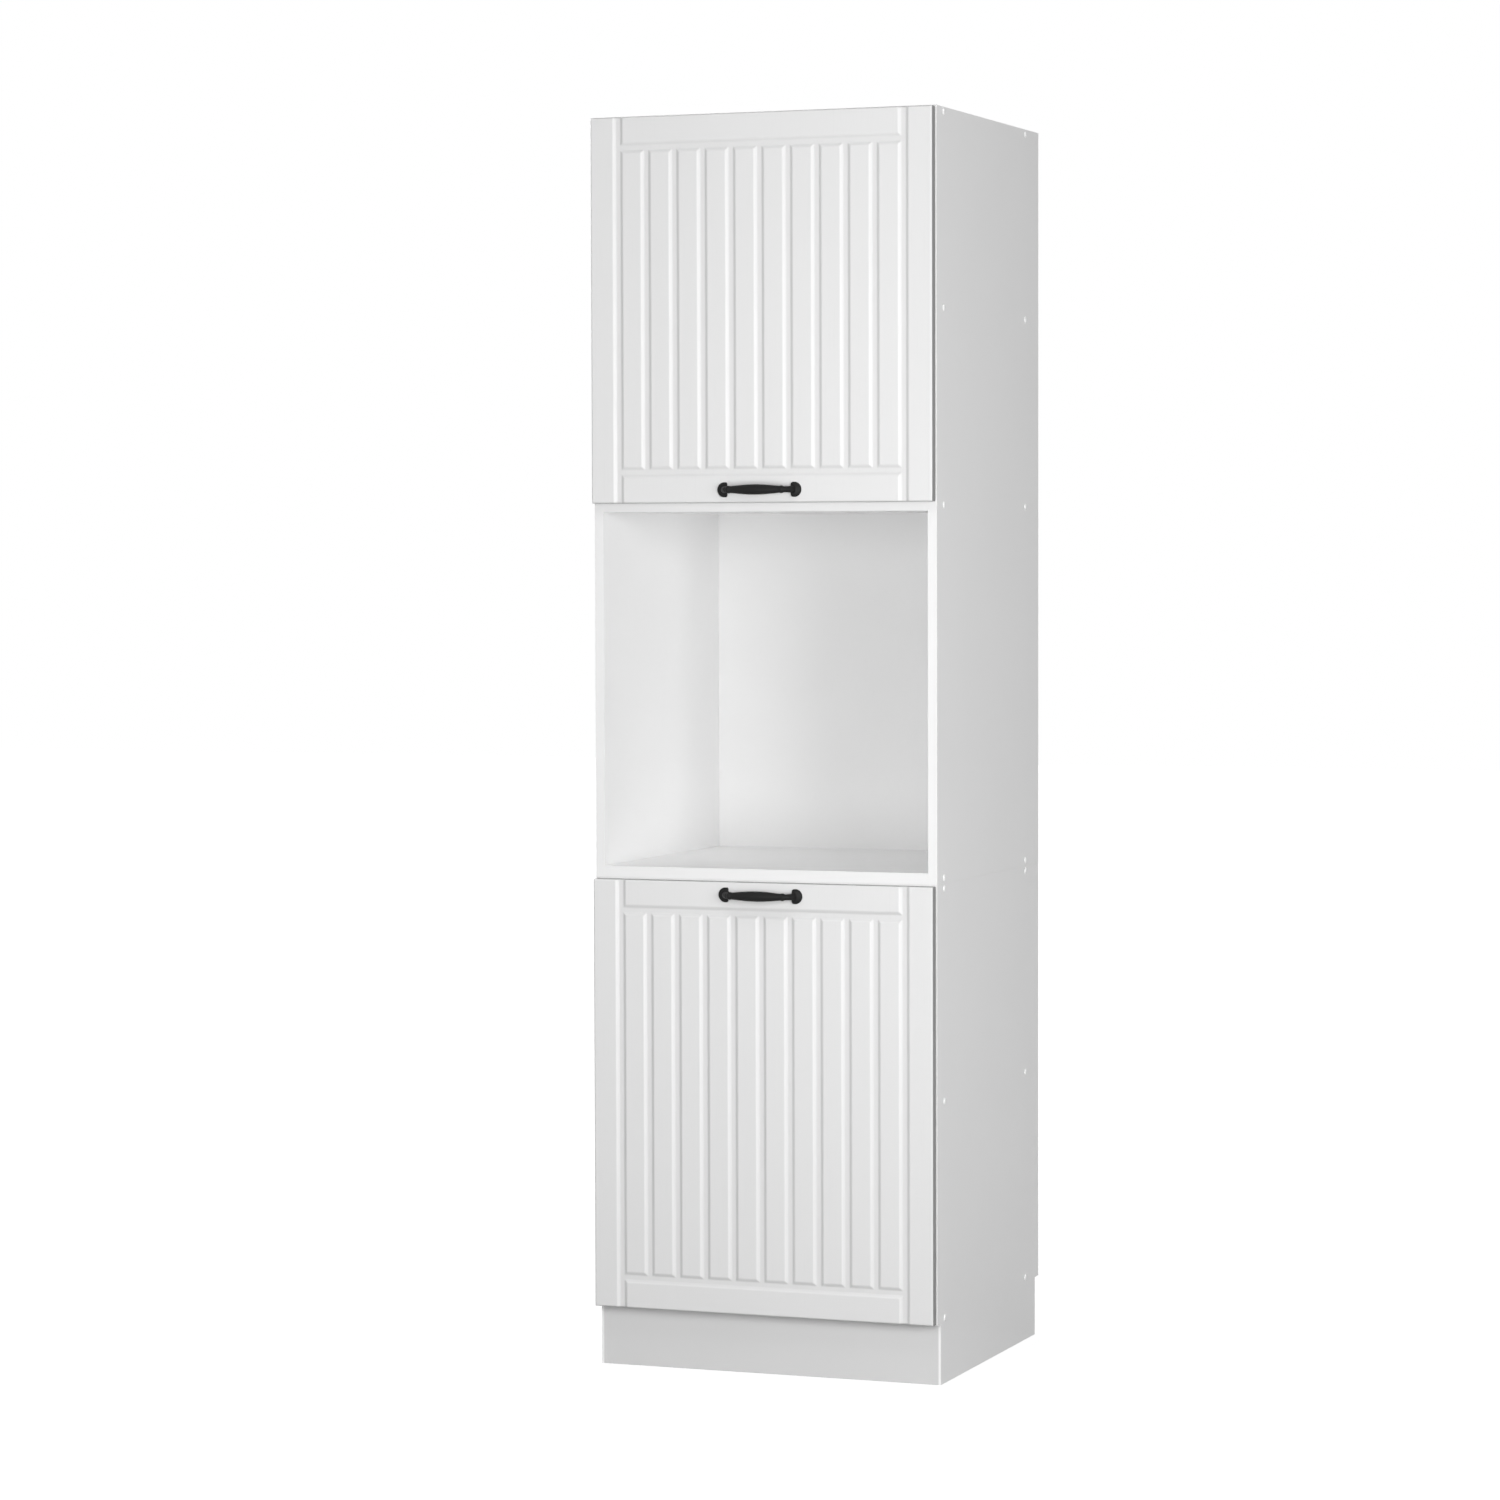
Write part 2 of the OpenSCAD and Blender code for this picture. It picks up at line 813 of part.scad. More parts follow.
module hinge_cup_lower_top() {
    hinge_cup(lower_hinge_z[1]);
}

module hinge_cup_upper_bottom() {
    hinge_cup(upper_hinge_z[0]);
}

module hinge_cup_upper_top() {
    hinge_cup(upper_hinge_z[1]);
}

module hinge_plate_screws() {
    color(bright_steel) in_frame()
        for (z = concat(lower_hinge_z, upper_hinge_z)) plate_screws(z) wood_screw(plate_screw_len);
}

module hinge_arm_screws() {
    color(dark_steel) in_frame()
        for (z = concat(lower_hinge_z, upper_hinge_z)) arm_screw(z) wood_screw(arm_screw_len);
}

module hinge_arm_pins_lower() {
    color(dark_steel) in_frame() for (z = lower_hinge_z) arm_pin(z);
}

module hinge_arm_pins_upper() {
    color(dark_steel) in_frame() for (z = upper_hinge_z) arm_pin(z);
}

module hinge_cup_pins_lower() {
    color(dark_steel) in_frame() for (z = lower_hinge_z) cup_pin(z);
}

module hinge_cup_pins_upper() {
    color(dark_steel) in_frame() for (z = upper_hinge_z) cup_pin(z);
}

module hinge_cup_screws_lower() {
    color(bright_steel) in_frame() for (z = lower_hinge_z) cup_screws(z) wood_screw(cup_screw_len);
}

module hinge_cup_screws_upper() {
    color(bright_steel) in_frame() for (z = upper_hinge_z) cup_screws(z) wood_screw(cup_screw_len);
}

// Doors

// Points of a front corner's rounding, a quarter of a circle that begins at an angle
corner_steps = 4;
function corner(x, y, start) = [
    for (step = [0:corner_steps]) let (angle = start + 90 * step / corner_steps)
        [x + door_edge_r * cos(angle), y + door_edge_r * sin(angle)]
];

// A door's outline across its thickness: sharp at the back, rounded in front
function door_outline(length) = concat(
    [[length / 2, 0], [-length / 2, 0]],
    corner(-length / 2 + door_edge_r, -door_t + door_edge_r, 180),
    corner(length / 2 - door_edge_r, -door_t + door_edge_r, 270)
);

// Section of a milled groove, centred on x = 0, open at the face y = 0
groove_section = [
    [-groove_w / 2, -eps], [-groove_base_w / 2, groove_d], [groove_base_w / 2, groove_d],
    [groove_w / 2, -eps], [groove_w / 2, -over], [-groove_w / 2, -over]
];

module upright_groove(x, z0, z1) {
    translate([x, door_face_y, z0]) linear_extrude(height = z1 - z0) polygon(groove_section);
}

module level_groove(z, x0, x1) {
    translate([x0, door_face_y, z]) rotate([90, 0, 90]) linear_extrude(height = x1 - x0)
        polygon([for (p = groove_section) [p[1], p[0]]]);
}

module door_blank(z0, height) {
    intersection() {
        translate([0, door_back_y, z0]) linear_extrude(height = height) polygon(door_outline(door_w));
        translate([-door_w / 2, door_back_y, z0 + height / 2]) rotate([90, 0, 90])
            linear_extrude(height = door_w) polygon([for (p = door_outline(height)) [p[1], p[0]]]);
    }
}

module door_panel(z0, height, hinge_z, handle_z) {
    rail_low_z = z0 + rail_w + groove_w / 2;
    rail_high_z = z0 + height - rail_w - groove_w / 2;
    color(white_door) in_frame() difference() {
        door_blank(z0, height);
        for (side = [-1, 1]) upright_groove(side * frame_groove_x, z0 - over, z0 + height + over);
        for (z = [rail_low_z, rail_high_z]) level_groove(z, -frame_groove_x, frame_groove_x);
        for (i = [1:1:slat_count - 1])
            upright_groove(-(field_w + groove_w) / 2 + i * slat_pitch, rail_low_z, rail_high_z);
        for (z = hinge_z) {
            bar_y(door_back_y - cup_depth, door_back_y + over, cup_x, z, cup_d / 2 + screw_fit);
            cup_screws(z) wood_screw_hole(cup_screw_len);
        }
        for (side = [-1, 1])
            bar_y(
                door_face_y - over, door_back_y + over,
                side * handle_spacing / 2, handle_z, handle_hole_d / 2
            );
    }
}

module lower_door() {
    door_panel(lower_door_z, lower_door_h, lower_hinge_z, lower_handle_z);
}

module upper_door() {
    door_panel(upper_door_z, upper_door_h, upper_hinge_z, upper_handle_z);
}

// Soft pads on the back of a door, where it meets the edge of the right side panel
module door_bumpers(z0, height) {
    color(clear_pad) in_frame() for (z = [z0 + pad_end, z0 + height - pad_end])
        bar_y(door_back_y, -pad_fit, pad_x, z, pad_r);
}

module lower_door_bumpers() {
    door_bumpers(lower_door_z, lower_door_h);
}

module upper_door_bumpers() {
    door_bumpers(upper_door_z, upper_door_h);
}

// Handles

// Radius of the bar at a share t of its half length: a barrel swelling to the middle
function bar_r(t) = bar_end_d / 2 + (bar_mid_d - bar_end_d) / 2 * cos(90 * t) ^ bar_swell;

// Half of a handle, towards +X, around the bar's axis at the handle's height
module handle_half(z) {
    bar_y0 = door_face_y - bar_out;
    neck_low = [rosette_x - rosette_cut + neck_in, door_face_y - neck_seat];
    neck_run = [neck_low[0] - bar_len / 2, neck_low[1] - bar_y0];
    // Swelling bar
    translate([0, bar_y0, z]) rotate([0, 90, 0]) rotate_extrude()
        polygon(concat(
            [[0, 0]],
            [for (i = [0:bar_steps]) [bar_r(i / bar_steps), bar_len / 2 * i / bar_steps]],
            [[0, bar_len / 2]]
        ));
    // Bead at the end of the bar
    translate([bar_len / 2, bar_y0, z]) sphere(d = bead_d);
    // Neck down to the rosette
    translate([bar_len / 2, bar_y0, z]) rotate([0, 0, atan2(neck_run[1], neck_run[0])]) rotate([0, 90, 0])
        cylinder(h = norm(neck_run), r1 = bar_end_d / 2, r2 = bar_end_d / 2 + neck_flare);
    // Domed rosette with its inner side cut off
    difference() {
        translate([rosette_x, door_face_y, z]) rotate([90, 0, 0]) rotate_extrude()
            polygon([
                [0, 0], [rosette_d / 2, 0], [rosette_d / 2, rosette_rim_h],
                [rosette_d * 0.46, rosette_rim_h + (rosette_h - rosette_rim_h) * 0.35],
                [rosette_d * 0.36, rosette_rim_h + (rosette_h - rosette_rim_h) * 0.7],
                [rosette_d * 0.2, rosette_rim_h + (rosette_h - rosette_rim_h) * 0.93],
                [0, rosette_h]
            ]);
        block(
            [rosette_x - rosette_d, door_face_y - rosette_h - over, z - rosette_d],
            [rosette_x - rosette_cut, door_face_y + over, z + rosette_d]
        );
    }
}

module handle(z) {
    color(black_iron) in_frame() difference() {
        union() {
            handle_half(z);
            mirror([1, 0, 0]) handle_half(z);
        }
        for (side = [-1, 1])
            bar_y(
                door_face_y - thread_depth, door_face_y + over,
                side * handle_spacing / 2, z, handle_screw_d / 2 + screw_fit
            );
        block([-half_w, door_face_y, z - rosette_d], [half_w, door_face_y + bar_out, z + rosette_d]);
    }
}

// Screws through the door into the rosettes, with a flat round head behind the door
module handle_screws(z) {
    color(bright_steel) in_frame() for (side = [-1, 1]) {
        bar_y(
            door_face_y - thread_depth + thread_rest, door_back_y + eps,
            side * handle_spacing / 2, z, handle_screw_d / 2
        );
        bar_y(
            door_back_y, door_back_y + handle_screw_head_h,
            side * handle_spacing / 2, z, handle_screw_head_r
        );
    }
}

module lower_handle() {
    handle(lower_handle_z);
}

module upper_handle() {
    handle(upper_handle_z);
}

module lower_handle_screws() {
    handle_screws(lower_handle_z);
}

module upper_handle_screws() {
    handle_screws(upper_handle_z);
}

side_left_lower();
side_right_lower();
bottom_board();
lower_shelf();
lower_top_board();
lower_back_panel();
plinth_front();
plinth_rear();
plinth_blocks();
plinth_block_screws();
side_left_upper();
side_right_upper();
niche_floor_board();
niche_ceiling_board();
upper_shelf();
top_board();
upper_back_panel();
carcass_screws();
screw_caps();
joining_screws();
back_panel_nails();
wall_bracket_left();
wall_bracket_right();
wall_bracket_screws();
hinge_plate_lower_bottom();
hinge_plate_lower_top();
hinge_plate_upper_bottom();
hinge_plate_upper_top();
hinge_plate_screws();
hinge_arm_lower_bottom();
hinge_arm_lower_top();
hinge_arm_upper_bottom();
hinge_arm_upper_top();
hinge_arm_screws();
hinge_arm_pins_lower();
hinge_arm_pins_upper();
hinge_link_lower_bottom();
hinge_link_lower_top();
hinge_link_upper_bottom();
hinge_link_upper_top();
lower_door();
lower_handle();
lower_handle_screws();
hinge_cup_lower_bottom();
hinge_cup_lower_top();
hinge_cup_pins_lower();
hinge_cup_screws_lower();
lower_door_bumpers();
upper_door();
upper_handle();
upper_handle_screws();
hinge_cup_upper_bottom();
hinge_cup_upper_top();
hinge_cup_pins_upper();
hinge_cup_screws_upper();
upper_door_bumpers();
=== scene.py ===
"""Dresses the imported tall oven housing: boards, milled doors, cast handles, fittings and a studio."""

import json
import math
from contextlib import contextmanager

import bmesh
import bpy
from bpy.props import FloatProperty, FloatVectorProperty, IntProperty, PointerProperty
from bpy.types import Operator, Panel, PropertyGroup
from mathutils import Matrix, Vector

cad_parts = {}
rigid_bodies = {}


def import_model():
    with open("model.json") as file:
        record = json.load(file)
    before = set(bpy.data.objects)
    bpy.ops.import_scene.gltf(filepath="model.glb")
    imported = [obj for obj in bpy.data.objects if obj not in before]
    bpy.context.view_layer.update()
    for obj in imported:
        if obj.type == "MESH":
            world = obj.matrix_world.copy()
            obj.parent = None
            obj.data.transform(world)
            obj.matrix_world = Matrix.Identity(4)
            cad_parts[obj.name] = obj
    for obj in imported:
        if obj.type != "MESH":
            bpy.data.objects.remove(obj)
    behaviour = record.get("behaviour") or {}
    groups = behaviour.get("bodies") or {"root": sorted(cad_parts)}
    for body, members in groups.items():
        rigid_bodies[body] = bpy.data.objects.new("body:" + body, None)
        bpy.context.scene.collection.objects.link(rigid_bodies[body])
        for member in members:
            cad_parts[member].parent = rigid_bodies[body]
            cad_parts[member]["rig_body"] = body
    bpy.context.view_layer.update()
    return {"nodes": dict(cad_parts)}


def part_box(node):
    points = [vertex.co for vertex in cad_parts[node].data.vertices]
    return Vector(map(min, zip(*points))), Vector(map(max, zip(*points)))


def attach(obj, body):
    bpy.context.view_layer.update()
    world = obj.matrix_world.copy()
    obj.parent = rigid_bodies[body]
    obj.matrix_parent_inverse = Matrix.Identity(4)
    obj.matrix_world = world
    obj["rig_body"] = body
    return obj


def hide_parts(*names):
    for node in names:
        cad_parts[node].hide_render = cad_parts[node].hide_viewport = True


bl_info = {
    "name": "Tall Oven Housing",
    "version": (1, 0, 0),
    "blender": (4, 5, 0),
    "location": "View3D > Sidebar > Housing",
    "description": "Models the finish of a tall kitchen housing for a built-in oven",
    "category": "Object",
}

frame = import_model()

MM = 0.001
TURN = 2 * math.pi
# Places that count as equal, points that count as one, and the bend below which faces count as flat
TINY = 0.02 * MM
MERGE = 0.002 * MM
FLAT = math.radians(0.5)

SIDES = ("side_left_lower", "side_right_lower", "side_left_upper", "side_right_upper")
FLUSH_BOARDS = ("bottom_board", "lower_top_board", "niche_floor_board", "niche_ceiling_board", "top_board")
SHELVES = ("lower_shelf", "upper_shelf")
PLINTH_BOARDS = ("plinth_front", "plinth_rear")
BACKS = ("lower_back_panel", "upper_back_panel")
BRACKETS = ("wall_bracket_left", "wall_bracket_right")
LEVELS = ("lower_bottom", "lower_top", "upper_bottom", "upper_top")
DOORS = ("lower", "upper")

# Turns that point a piece's own Z axis along an axis of the housing
ALONG = {
    "+X": Matrix.Rotation(math.radians(90), 4, "Y"),
    "-X": Matrix.Rotation(math.radians(-90), 4, "Y"),
    "+Y": Matrix.Rotation(math.radians(-90), 4, "X"),
    "-Y": Matrix.Rotation(math.radians(90), 4, "X"),
    "+Z": Matrix.Identity(4),
}


# Places read from the frame

def solids_of(node):
    """The boxes of the separate solids in a CAD node, as (lowest corner, highest corner)."""
    mesh = bmesh.new()
    mesh.from_mesh(frame["nodes"][node].data)
    bmesh.ops.remove_doubles(mesh, verts=mesh.verts, dist=MERGE)
    waiting = set(mesh.verts)
    boxes = []
    while waiting:
        group = [waiting.pop()]
        for vert in group:
            for edge in vert.link_edges:
                other = edge.other_vert(vert)
                if other in waiting:
                    waiting.remove(other)
                    group.append(other)
        low = Vector([min(vert.co[i] for vert in group) for i in range(3)])
        high = Vector([max(vert.co[i] for vert in group) for i in range(3)])
        boxes.append((low, high))
    mesh.free()
    return sorted(boxes, key=lambda box: tuple(round(value, 5) for value in box[0]))


def middle(box):
    return (box[0] + box[1]) / 2


def body_of(node):
    return frame["nodes"][node]["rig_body"]


CARCASS_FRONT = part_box("side_right_lower")[0].y
SHELF_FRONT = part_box("lower_shelf")[0].y


# Modelling steps

def deselect_all():
    """Leaves edit mode and deselects every object."""
    if bpy.context.object and bpy.context.object.mode != "OBJECT":
        bpy.ops.object.mode_set(mode="OBJECT")
    bpy.ops.object.select_all(action="DESELECT")


def select_only(*pieces):
    """Selects these pieces alone, the first of them active."""
    deselect_all()
    for piece in pieces:
        piece.select_set(True)
    bpy.context.view_layer.objects.active = pieces[0]


@contextmanager
def editing(piece):
    """Edit mode on one piece, with all of its mesh selected."""
    select_only(piece)
    bpy.ops.object.mode_set(mode="EDIT")
    bpy.ops.mesh.select_mode(type="VERT")
    bpy.ops.mesh.select_all(action="SELECT")
    yield piece
    bpy.ops.object.mode_set(mode="OBJECT")


def pick(kind, test):
    """Selects the vertices, edges or faces that pass a test, in edit mode, and counts them."""
    bpy.ops.mesh.select_mode(type=kind)
    bpy.ops.mesh.select_all(action="DESELECT")
    mesh = bpy.context.object.data
    shape = bmesh.from_edit_mesh(mesh)
    parts = {"VERT": shape.verts, "EDGE": shape.edges, "FACE": shape.faces}[kind]
    found = [part for part in parts if test(part)]
    for part in found:
        part.select_set(True)
    shape.select_flush_mode()
    bmesh.update_edit_mesh(mesh)
    return len(found)


def apply_places(piece):
    """Puts a piece's place, turn and scale into its mesh."""
    select_only(piece)
    bpy.ops.object.transform_apply(location=True, rotation=True, scale=True)


def apply_modifiers(piece):
    select_only(piece)
    for modifier in list(piece.modifiers):
        bpy.ops.object.modifier_apply(modifier=modifier.name)


def take_added(name):
    """Names the primitive just added, and puts its place into its mesh."""
    piece = bpy.context.object
    piece.name = name
    apply_places(piece)
    return piece


def add_block(name, low, high):
    """A block between two corners."""
    deselect_all()
    low, high = Vector(low), Vector(high)
    bpy.ops.mesh.primitive_cube_add(size=1, location=(low + high) / 2, scale=high - low)
    return take_added(name)


def add_rod(name, start, end, radius, sides):
    """A round rod between two points."""
    deselect_all()
    start, end = Vector(start), Vector(end)
    run = end - start
    bpy.ops.mesh.primitive_cylinder_add(
        vertices=sides, radius=radius, depth=run.length,
        location=(start + end) / 2, rotation=run.to_track_quat("Z", "Y").to_euler(),
    )
    return take_added(name)


def lathe(name, profile, steps):
    """A closed shape spun about the Z axis from a profile of (radius, height) points."""
    deselect_all()
    bpy.ops.mesh.primitive_plane_add(size=MM)
    piece = bpy.context.object
    piece.name = name
    with editing(piece):
        bpy.ops.mesh.merge(type="CENTER")
        bpy.ops.transform.translate(value=(profile[0][0], 0, profile[0][1]))
        for (r0, z0), (r1, z1) in zip(profile, profile[1:]):
            bpy.ops.mesh.extrude_region_move(TRANSFORM_OT_translate={"value": (r1 - r0, 0, z1 - z0)})
        bpy.ops.mesh.select_all(action="SELECT")
        bpy.ops.mesh.spin(steps=steps, angle=TURN, center=(0, 0, 0), axis=(0, 0, 1))
        bpy.ops.mesh.select_all(action="SELECT")
        bpy.ops.mesh.remove_doubles(threshold=MERGE)
        bpy.ops.mesh.normals_make_consistent(inside=False)
    return piece


def duplicate(source, name):
    """A copy of an object with its own mesh."""
    piece = source.copy()
    piece.data = source.data.copy()
    piece.name = name
    bpy.context.scene.collection.objects.link(piece)
    return piece


def copy_cad(node, name):
    """A merged copy of a CAD node's mesh, with its flat faces whole."""
    piece = duplicate(frame["nodes"][node], name)
    piece.parent = None
    for key in list(piece.keys()):
        del piece[key]
    with editing(piece):
        bpy.ops.mesh.remove_doubles(threshold=MERGE)
        bpy.ops.mesh.select_all(action="SELECT")
        bpy.ops.mesh.dissolve_limited(angle_limit=FLAT)
    return piece


def is_sharp(edge, degrees=40):
    return len(edge.link_faces) == 2 and edge.calc_face_angle(0) > math.radians(degrees)


def round_edges(piece, test, width, segments=2):
    """Bevels the edges of a piece that pass a test."""
    with editing(piece):
        if pick("EDGE", test):
            bpy.ops.mesh.bevel(
                offset=width, offset_type="OFFSET", segments=segments, profile=0.5,
                affect="EDGES", clamp_overlap=False,
            )


def copy_at(source, place, name):
    """A copy of a piece, moved by a matrix."""
    piece = duplicate(source, name)
    piece.matrix_world = place
    apply_places(piece)
    return piece


def join(name, pieces):
    """Joins pieces into one."""
    select_only(*pieces)
    if len(pieces) > 1:
        bpy.ops.object.join()
    pieces[0].name = name
    return pieces[0]


def remove(piece):
    bpy.data.objects.remove(piece, do_unlink=True)


def cut(piece, cutter, operation="DIFFERENCE"):
    """Cuts one closed shape out of another, or keeps what both share."""
    select_only(piece)
    modifier = piece.modifiers.new("cut", "BOOLEAN")
    modifier.operation = operation
    modifier.solver = "EXACT"
    modifier.object = cutter
    apply_modifiers(piece)
    remove(cutter)


def finish_piece(piece, node, material, degrees=35):
    """Gives a piece its material and shading, and puts it in place of a CAD node on its body."""
    piece.data.materials.clear()
    piece.data.materials.append(material)
    select_only(piece)
    bpy.ops.object.shade_smooth_by_angle(angle=math.radians(degrees))
    flat = piece.modifiers.new("flat_faces", "WEIGHTED_NORMAL")
    flat.keep_sharp = True
    flat.weight = 100
    apply_modifiers(piece)
    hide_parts(node)
    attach(piece, body_of(node))


def paint_node(node, material):
    """Gives a CAD node that stays its material."""
    mesh = frame["nodes"][node].data
    mesh.materials.clear()
    mesh.materials.append(material)


# Materials

# How much darker the edge bands and their glue lines are than the boards
BAND_SHADE = 0.13
GLUE_SHADE = 0.16
# Depths below a door's face between which the grooves take painted shade, and the share of tone left there
GROOVE_SHADE_FROM = 0.8 * MM
GROOVE_SHADE_TO = 1.6 * MM
GROOVE_SHADE_SHARE = 0.96
# Distances from a door's outline between which its edge tone sets in
RIM_FROM = 0.5 * MM
RIM_TO = 0.15 * MM


class Value:
    """The output of a shader node, which can be reckoned with like a number."""

    def __init__(self, nodes, socket):
        self.nodes = nodes
        self.socket = socket

    def math(self, operation, *others):
        return self.nodes.node("ShaderNodeMath", 0, {"operation": operation}, self, *others)

    def __add__(self, other):
        return self.math("ADD", other)

    def __sub__(self, other):
        return self.math("SUBTRACT", other)

    def __rsub__(self, other):
        return (self - other) * -1

    def __mul__(self, other):
        return self.math("MULTIPLY", other)

    __radd__ = __add__
    __rmul__ = __mul__

    def size(self):
        return self.math("ABSOLUTE")

    def larger(self, other):
        return self.math("MAXIMUM", other)


class Nodes:
    """The node tree of a material or of the world."""

    def __init__(self, tree):
        self.tree = tree

    def connect(self, socket, value):
        """Links a value to a socket, or sets the socket to a number, a colour or a vector."""
        if isinstance(value, Value):
            self.tree.links.new(value.socket, socket)
        else:
            socket.default_value = value

    def node(self, kind, output, settings=None, *values, **inputs):
        """Makes a node from its settings and its sockets, in order or by name, and returns an output."""
        node = self.tree.nodes.new(kind)
        for key, value in (settings or {}).items():
            setattr(node, key, value)
        for socket, value in zip(node.inputs, values):
            self.connect(socket, value)
        for key, value in inputs.items():
            self.connect(node.inputs[key.replace("_", " ")], value)
        return Value(self, node.outputs[output])

    def white_for_view(self, mirrored):
        """1 for rays that show the plain white: the camera's, and if mirrored those in gloss and glass."""
        seen = self.node("ShaderNodeLightPath", "Is Camera Ray")
        if mirrored:
            for ray in ("Is Glossy Ray", "Is Transmission Ray"):
                seen = seen.larger(self.node("ShaderNodeLightPath", ray))
        return seen


class Finish(Nodes):
    """One material with its nodes, all of them reading Object coordinates."""

    def __init__(self, name, **constants):
        self.material = bpy.data.materials.new(name)
        self.material.use_nodes = True
        super().__init__(self.material.node_tree)
        self.shader = self.tree.nodes["Principled BSDF"]
        for key, value in constants.items():
            self.shader.inputs[key.replace("_", " ")].default_value = value
        self.place = self.node("ShaderNodeTexCoord", "Object")

    def axis(self, name):
        return self.node("ShaderNodeSeparateXYZ", name, Vector=self.place)

    def noise(self, per_metre, detail=2.0, roughness=0.5, stretch=(1, 1, 1)):
        """Noise with this many features per metre, stretched along the axes, from 0 to 1."""
        spread = self.node("ShaderNodeMapping", "Vector", Vector=self.place, Scale=stretch)
        return self.node(
            "ShaderNodeTexNoise", "Fac", Vector=spread, Scale=per_metre, Detail=detail, Roughness=roughness,
        )

    def rise(self, value, low, high, start=0.0, end=1.0):
        """A smooth rise from start to end while the value goes from low to high."""
        return self.node(
            "ShaderNodeMapRange", "Result", {"interpolation_type": "SMOOTHSTEP"},
            Value=value, From_Min=low, From_Max=high, To_Min=start, To_Max=end,
        )

    def shaded(self, colour, share):
        """A colour multiplied by a varying share."""
        return self.node(
            "ShaderNodeVectorMath", "Vector", {"operation": "SCALE"}, Vector=colour[:3], Scale=share,
        )

    def bump(self, height, distance, strength=1.0):
        return self.node("ShaderNodeBump", "Normal", Height=height, Distance=distance, Strength=strength)

    def paint(self, **inputs):
        """Joins varying values to the shader, and returns the material."""
        for key, value in inputs.items():
            self.connect(self.shader.inputs[key.replace("_", " ")], value)
        return self.material


def melamine(name, colour, edge_y=None, edge_band=0.0, toe_shade_share=1.0):
    """Coated chipboard: a fine orange-peel grain, its edge band's glue line, and painted shade on the toe
    edges beside the plinth.
    """
    finish = Finish(name, IOR=1.45)
    peel = finish.noise(900, detail=1.0)
    cloud = finish.noise(7, detail=3.0)
    share = finish.rise(cloud, 0.2, 0.8, 0.985, 1.0)
    height = peel * 0.6
    if edge_y is not None:
        away = (finish.axis("Y") - (edge_y + edge_band)).size()
        line = finish.rise(away, 0.04 * MM, 0.16 * MM, 1.0, 0.0)
        band = finish.rise(finish.axis("Y"), edge_y + 0.6 * edge_band, edge_y + edge_band, BAND_SHADE, 0.0)
        share = share - line * GLUE_SHADE - band
        height = height - line * 1.5
    # Painted shade: the toe edges are darkened to the plinth's tone
    if toe_shade_share < 1:
        share = share * (1 - toe_edge_shade(finish) * (1 - toe_shade_share))
    return finish.paint(
        Base_Color=finish.shaded(colour, share),
        Roughness=finish.rise(finish.noise(60, detail=3.0), 0.3, 0.7, 0.40, 0.48),
        Normal=finish.bump(height, 0.03 * MM, 0.35),
    )


def toe_edge_shade(finish, corner=3 * MM, soft=2 * MM):
    """The side panels' edges beside the plinth, apart from their outer corners, where they take the plinth's
    painted shade.
    """
    low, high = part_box("plinth_front")
    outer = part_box("side_right_lower")[1].x - corner
    below = finish.rise(finish.axis("Z"), high.z - MM, high.z, 1.0, 0.0)
    ahead = finish.rise(finish.axis("Y"), low.y + 0.5 * MM, low.y + MM, 1.0, 0.0)
    inside = finish.rise(finish.axis("X").size(), outer - soft, outer, 1.0, 0.0)
    return below * ahead * inside


def pressed_foil(name, colour, box, edge_share):
    """Satin foil over milled fibreboard: a faint upright grain, painted shade in the grooves and a door's
    greyer edges.
    """
    finish = Finish(name, IOR=1.46)
    grain = finish.noise(420, detail=3.0, roughness=0.6, stretch=(1, 1, 0.02))
    cloud = finish.noise(5, detail=3.0, stretch=(1, 1, 0.4))
    share = finish.rise(cloud, 0.2, 0.8, 0.985, 1.0) - finish.rise(grain, 0.55, 0.75, 0.0, 0.02)
    centre, half = middle(box), (box[1] - box[0]) / 2
    beside, above = [
        finish.rise((finish.axis("XYZ"[i]) - centre[i]).size(), half[i] - RIM_FROM, half[i] - RIM_TO)
        for i in (0, 2)
    ]
    edge = beside.larger(above)
    # Painted shade: the milled grooves are darkened below the door's face
    groove_shade = finish.rise(finish.axis("Y"), box[0].y + GROOVE_SHADE_FROM, box[0].y + GROOVE_SHADE_TO, 1.0, GROOVE_SHADE_SHARE)
    return finish.paint(
        Base_Color=finish.shaded(colour, share * groove_shade * (edge * (edge_share - 1) + 1)),
        Roughness=finish.rise(grain, 0.3, 0.7, 0.34, 0.42) + edge * 0.15,
        Normal=finish.bump(grain + finish.noise(1200, detail=1.0) * 0.3, 0.04 * MM, 0.3),
    )


def painted_back(name, colour):
    """Thin white-faced fibreboard with a slight wave and fibre marks."""
    finish = Finish(name, IOR=1.45)
    fibres = finish.noise(260, detail=4.0, roughness=0.65, stretch=(1, 1, 0.35))
    cloud = finish.noise(5)
    share = finish.rise(cloud, 0.2, 0.8, 0.975, 1.0) - finish.rise(fibres, 0.6, 0.8, 0.0, 0.03)
    return finish.paint(
        Base_Color=finish.shaded(colour, share),
        Roughness=finish.rise(fibres, 0.3, 0.7, 0.46, 0.56),
        Normal=finish.bump(fibres, 0.05 * MM, 0.3),
    )


def black_iron(name, colour):
    """Rough black-coated cast iron, a little hammered."""
    finish = Finish(name, IOR=1.5, Specular_IOR_Level=0.18)
    dents = finish.noise(260, stretch=(0.4, 1, 1))
    sand = finish.noise(1500, roughness=0.7)
    share = finish.rise(sand, 0.35, 0.7, 0.8, 1.35)
    return finish.paint(
        Base_Color=finish.shaded(colour, share),
        Roughness=finish.rise(sand, 0.3, 0.7, 0.42, 0.58),
        Normal=finish.bump(dents * 3 + sand, 0.12 * MM, 0.6),
    )


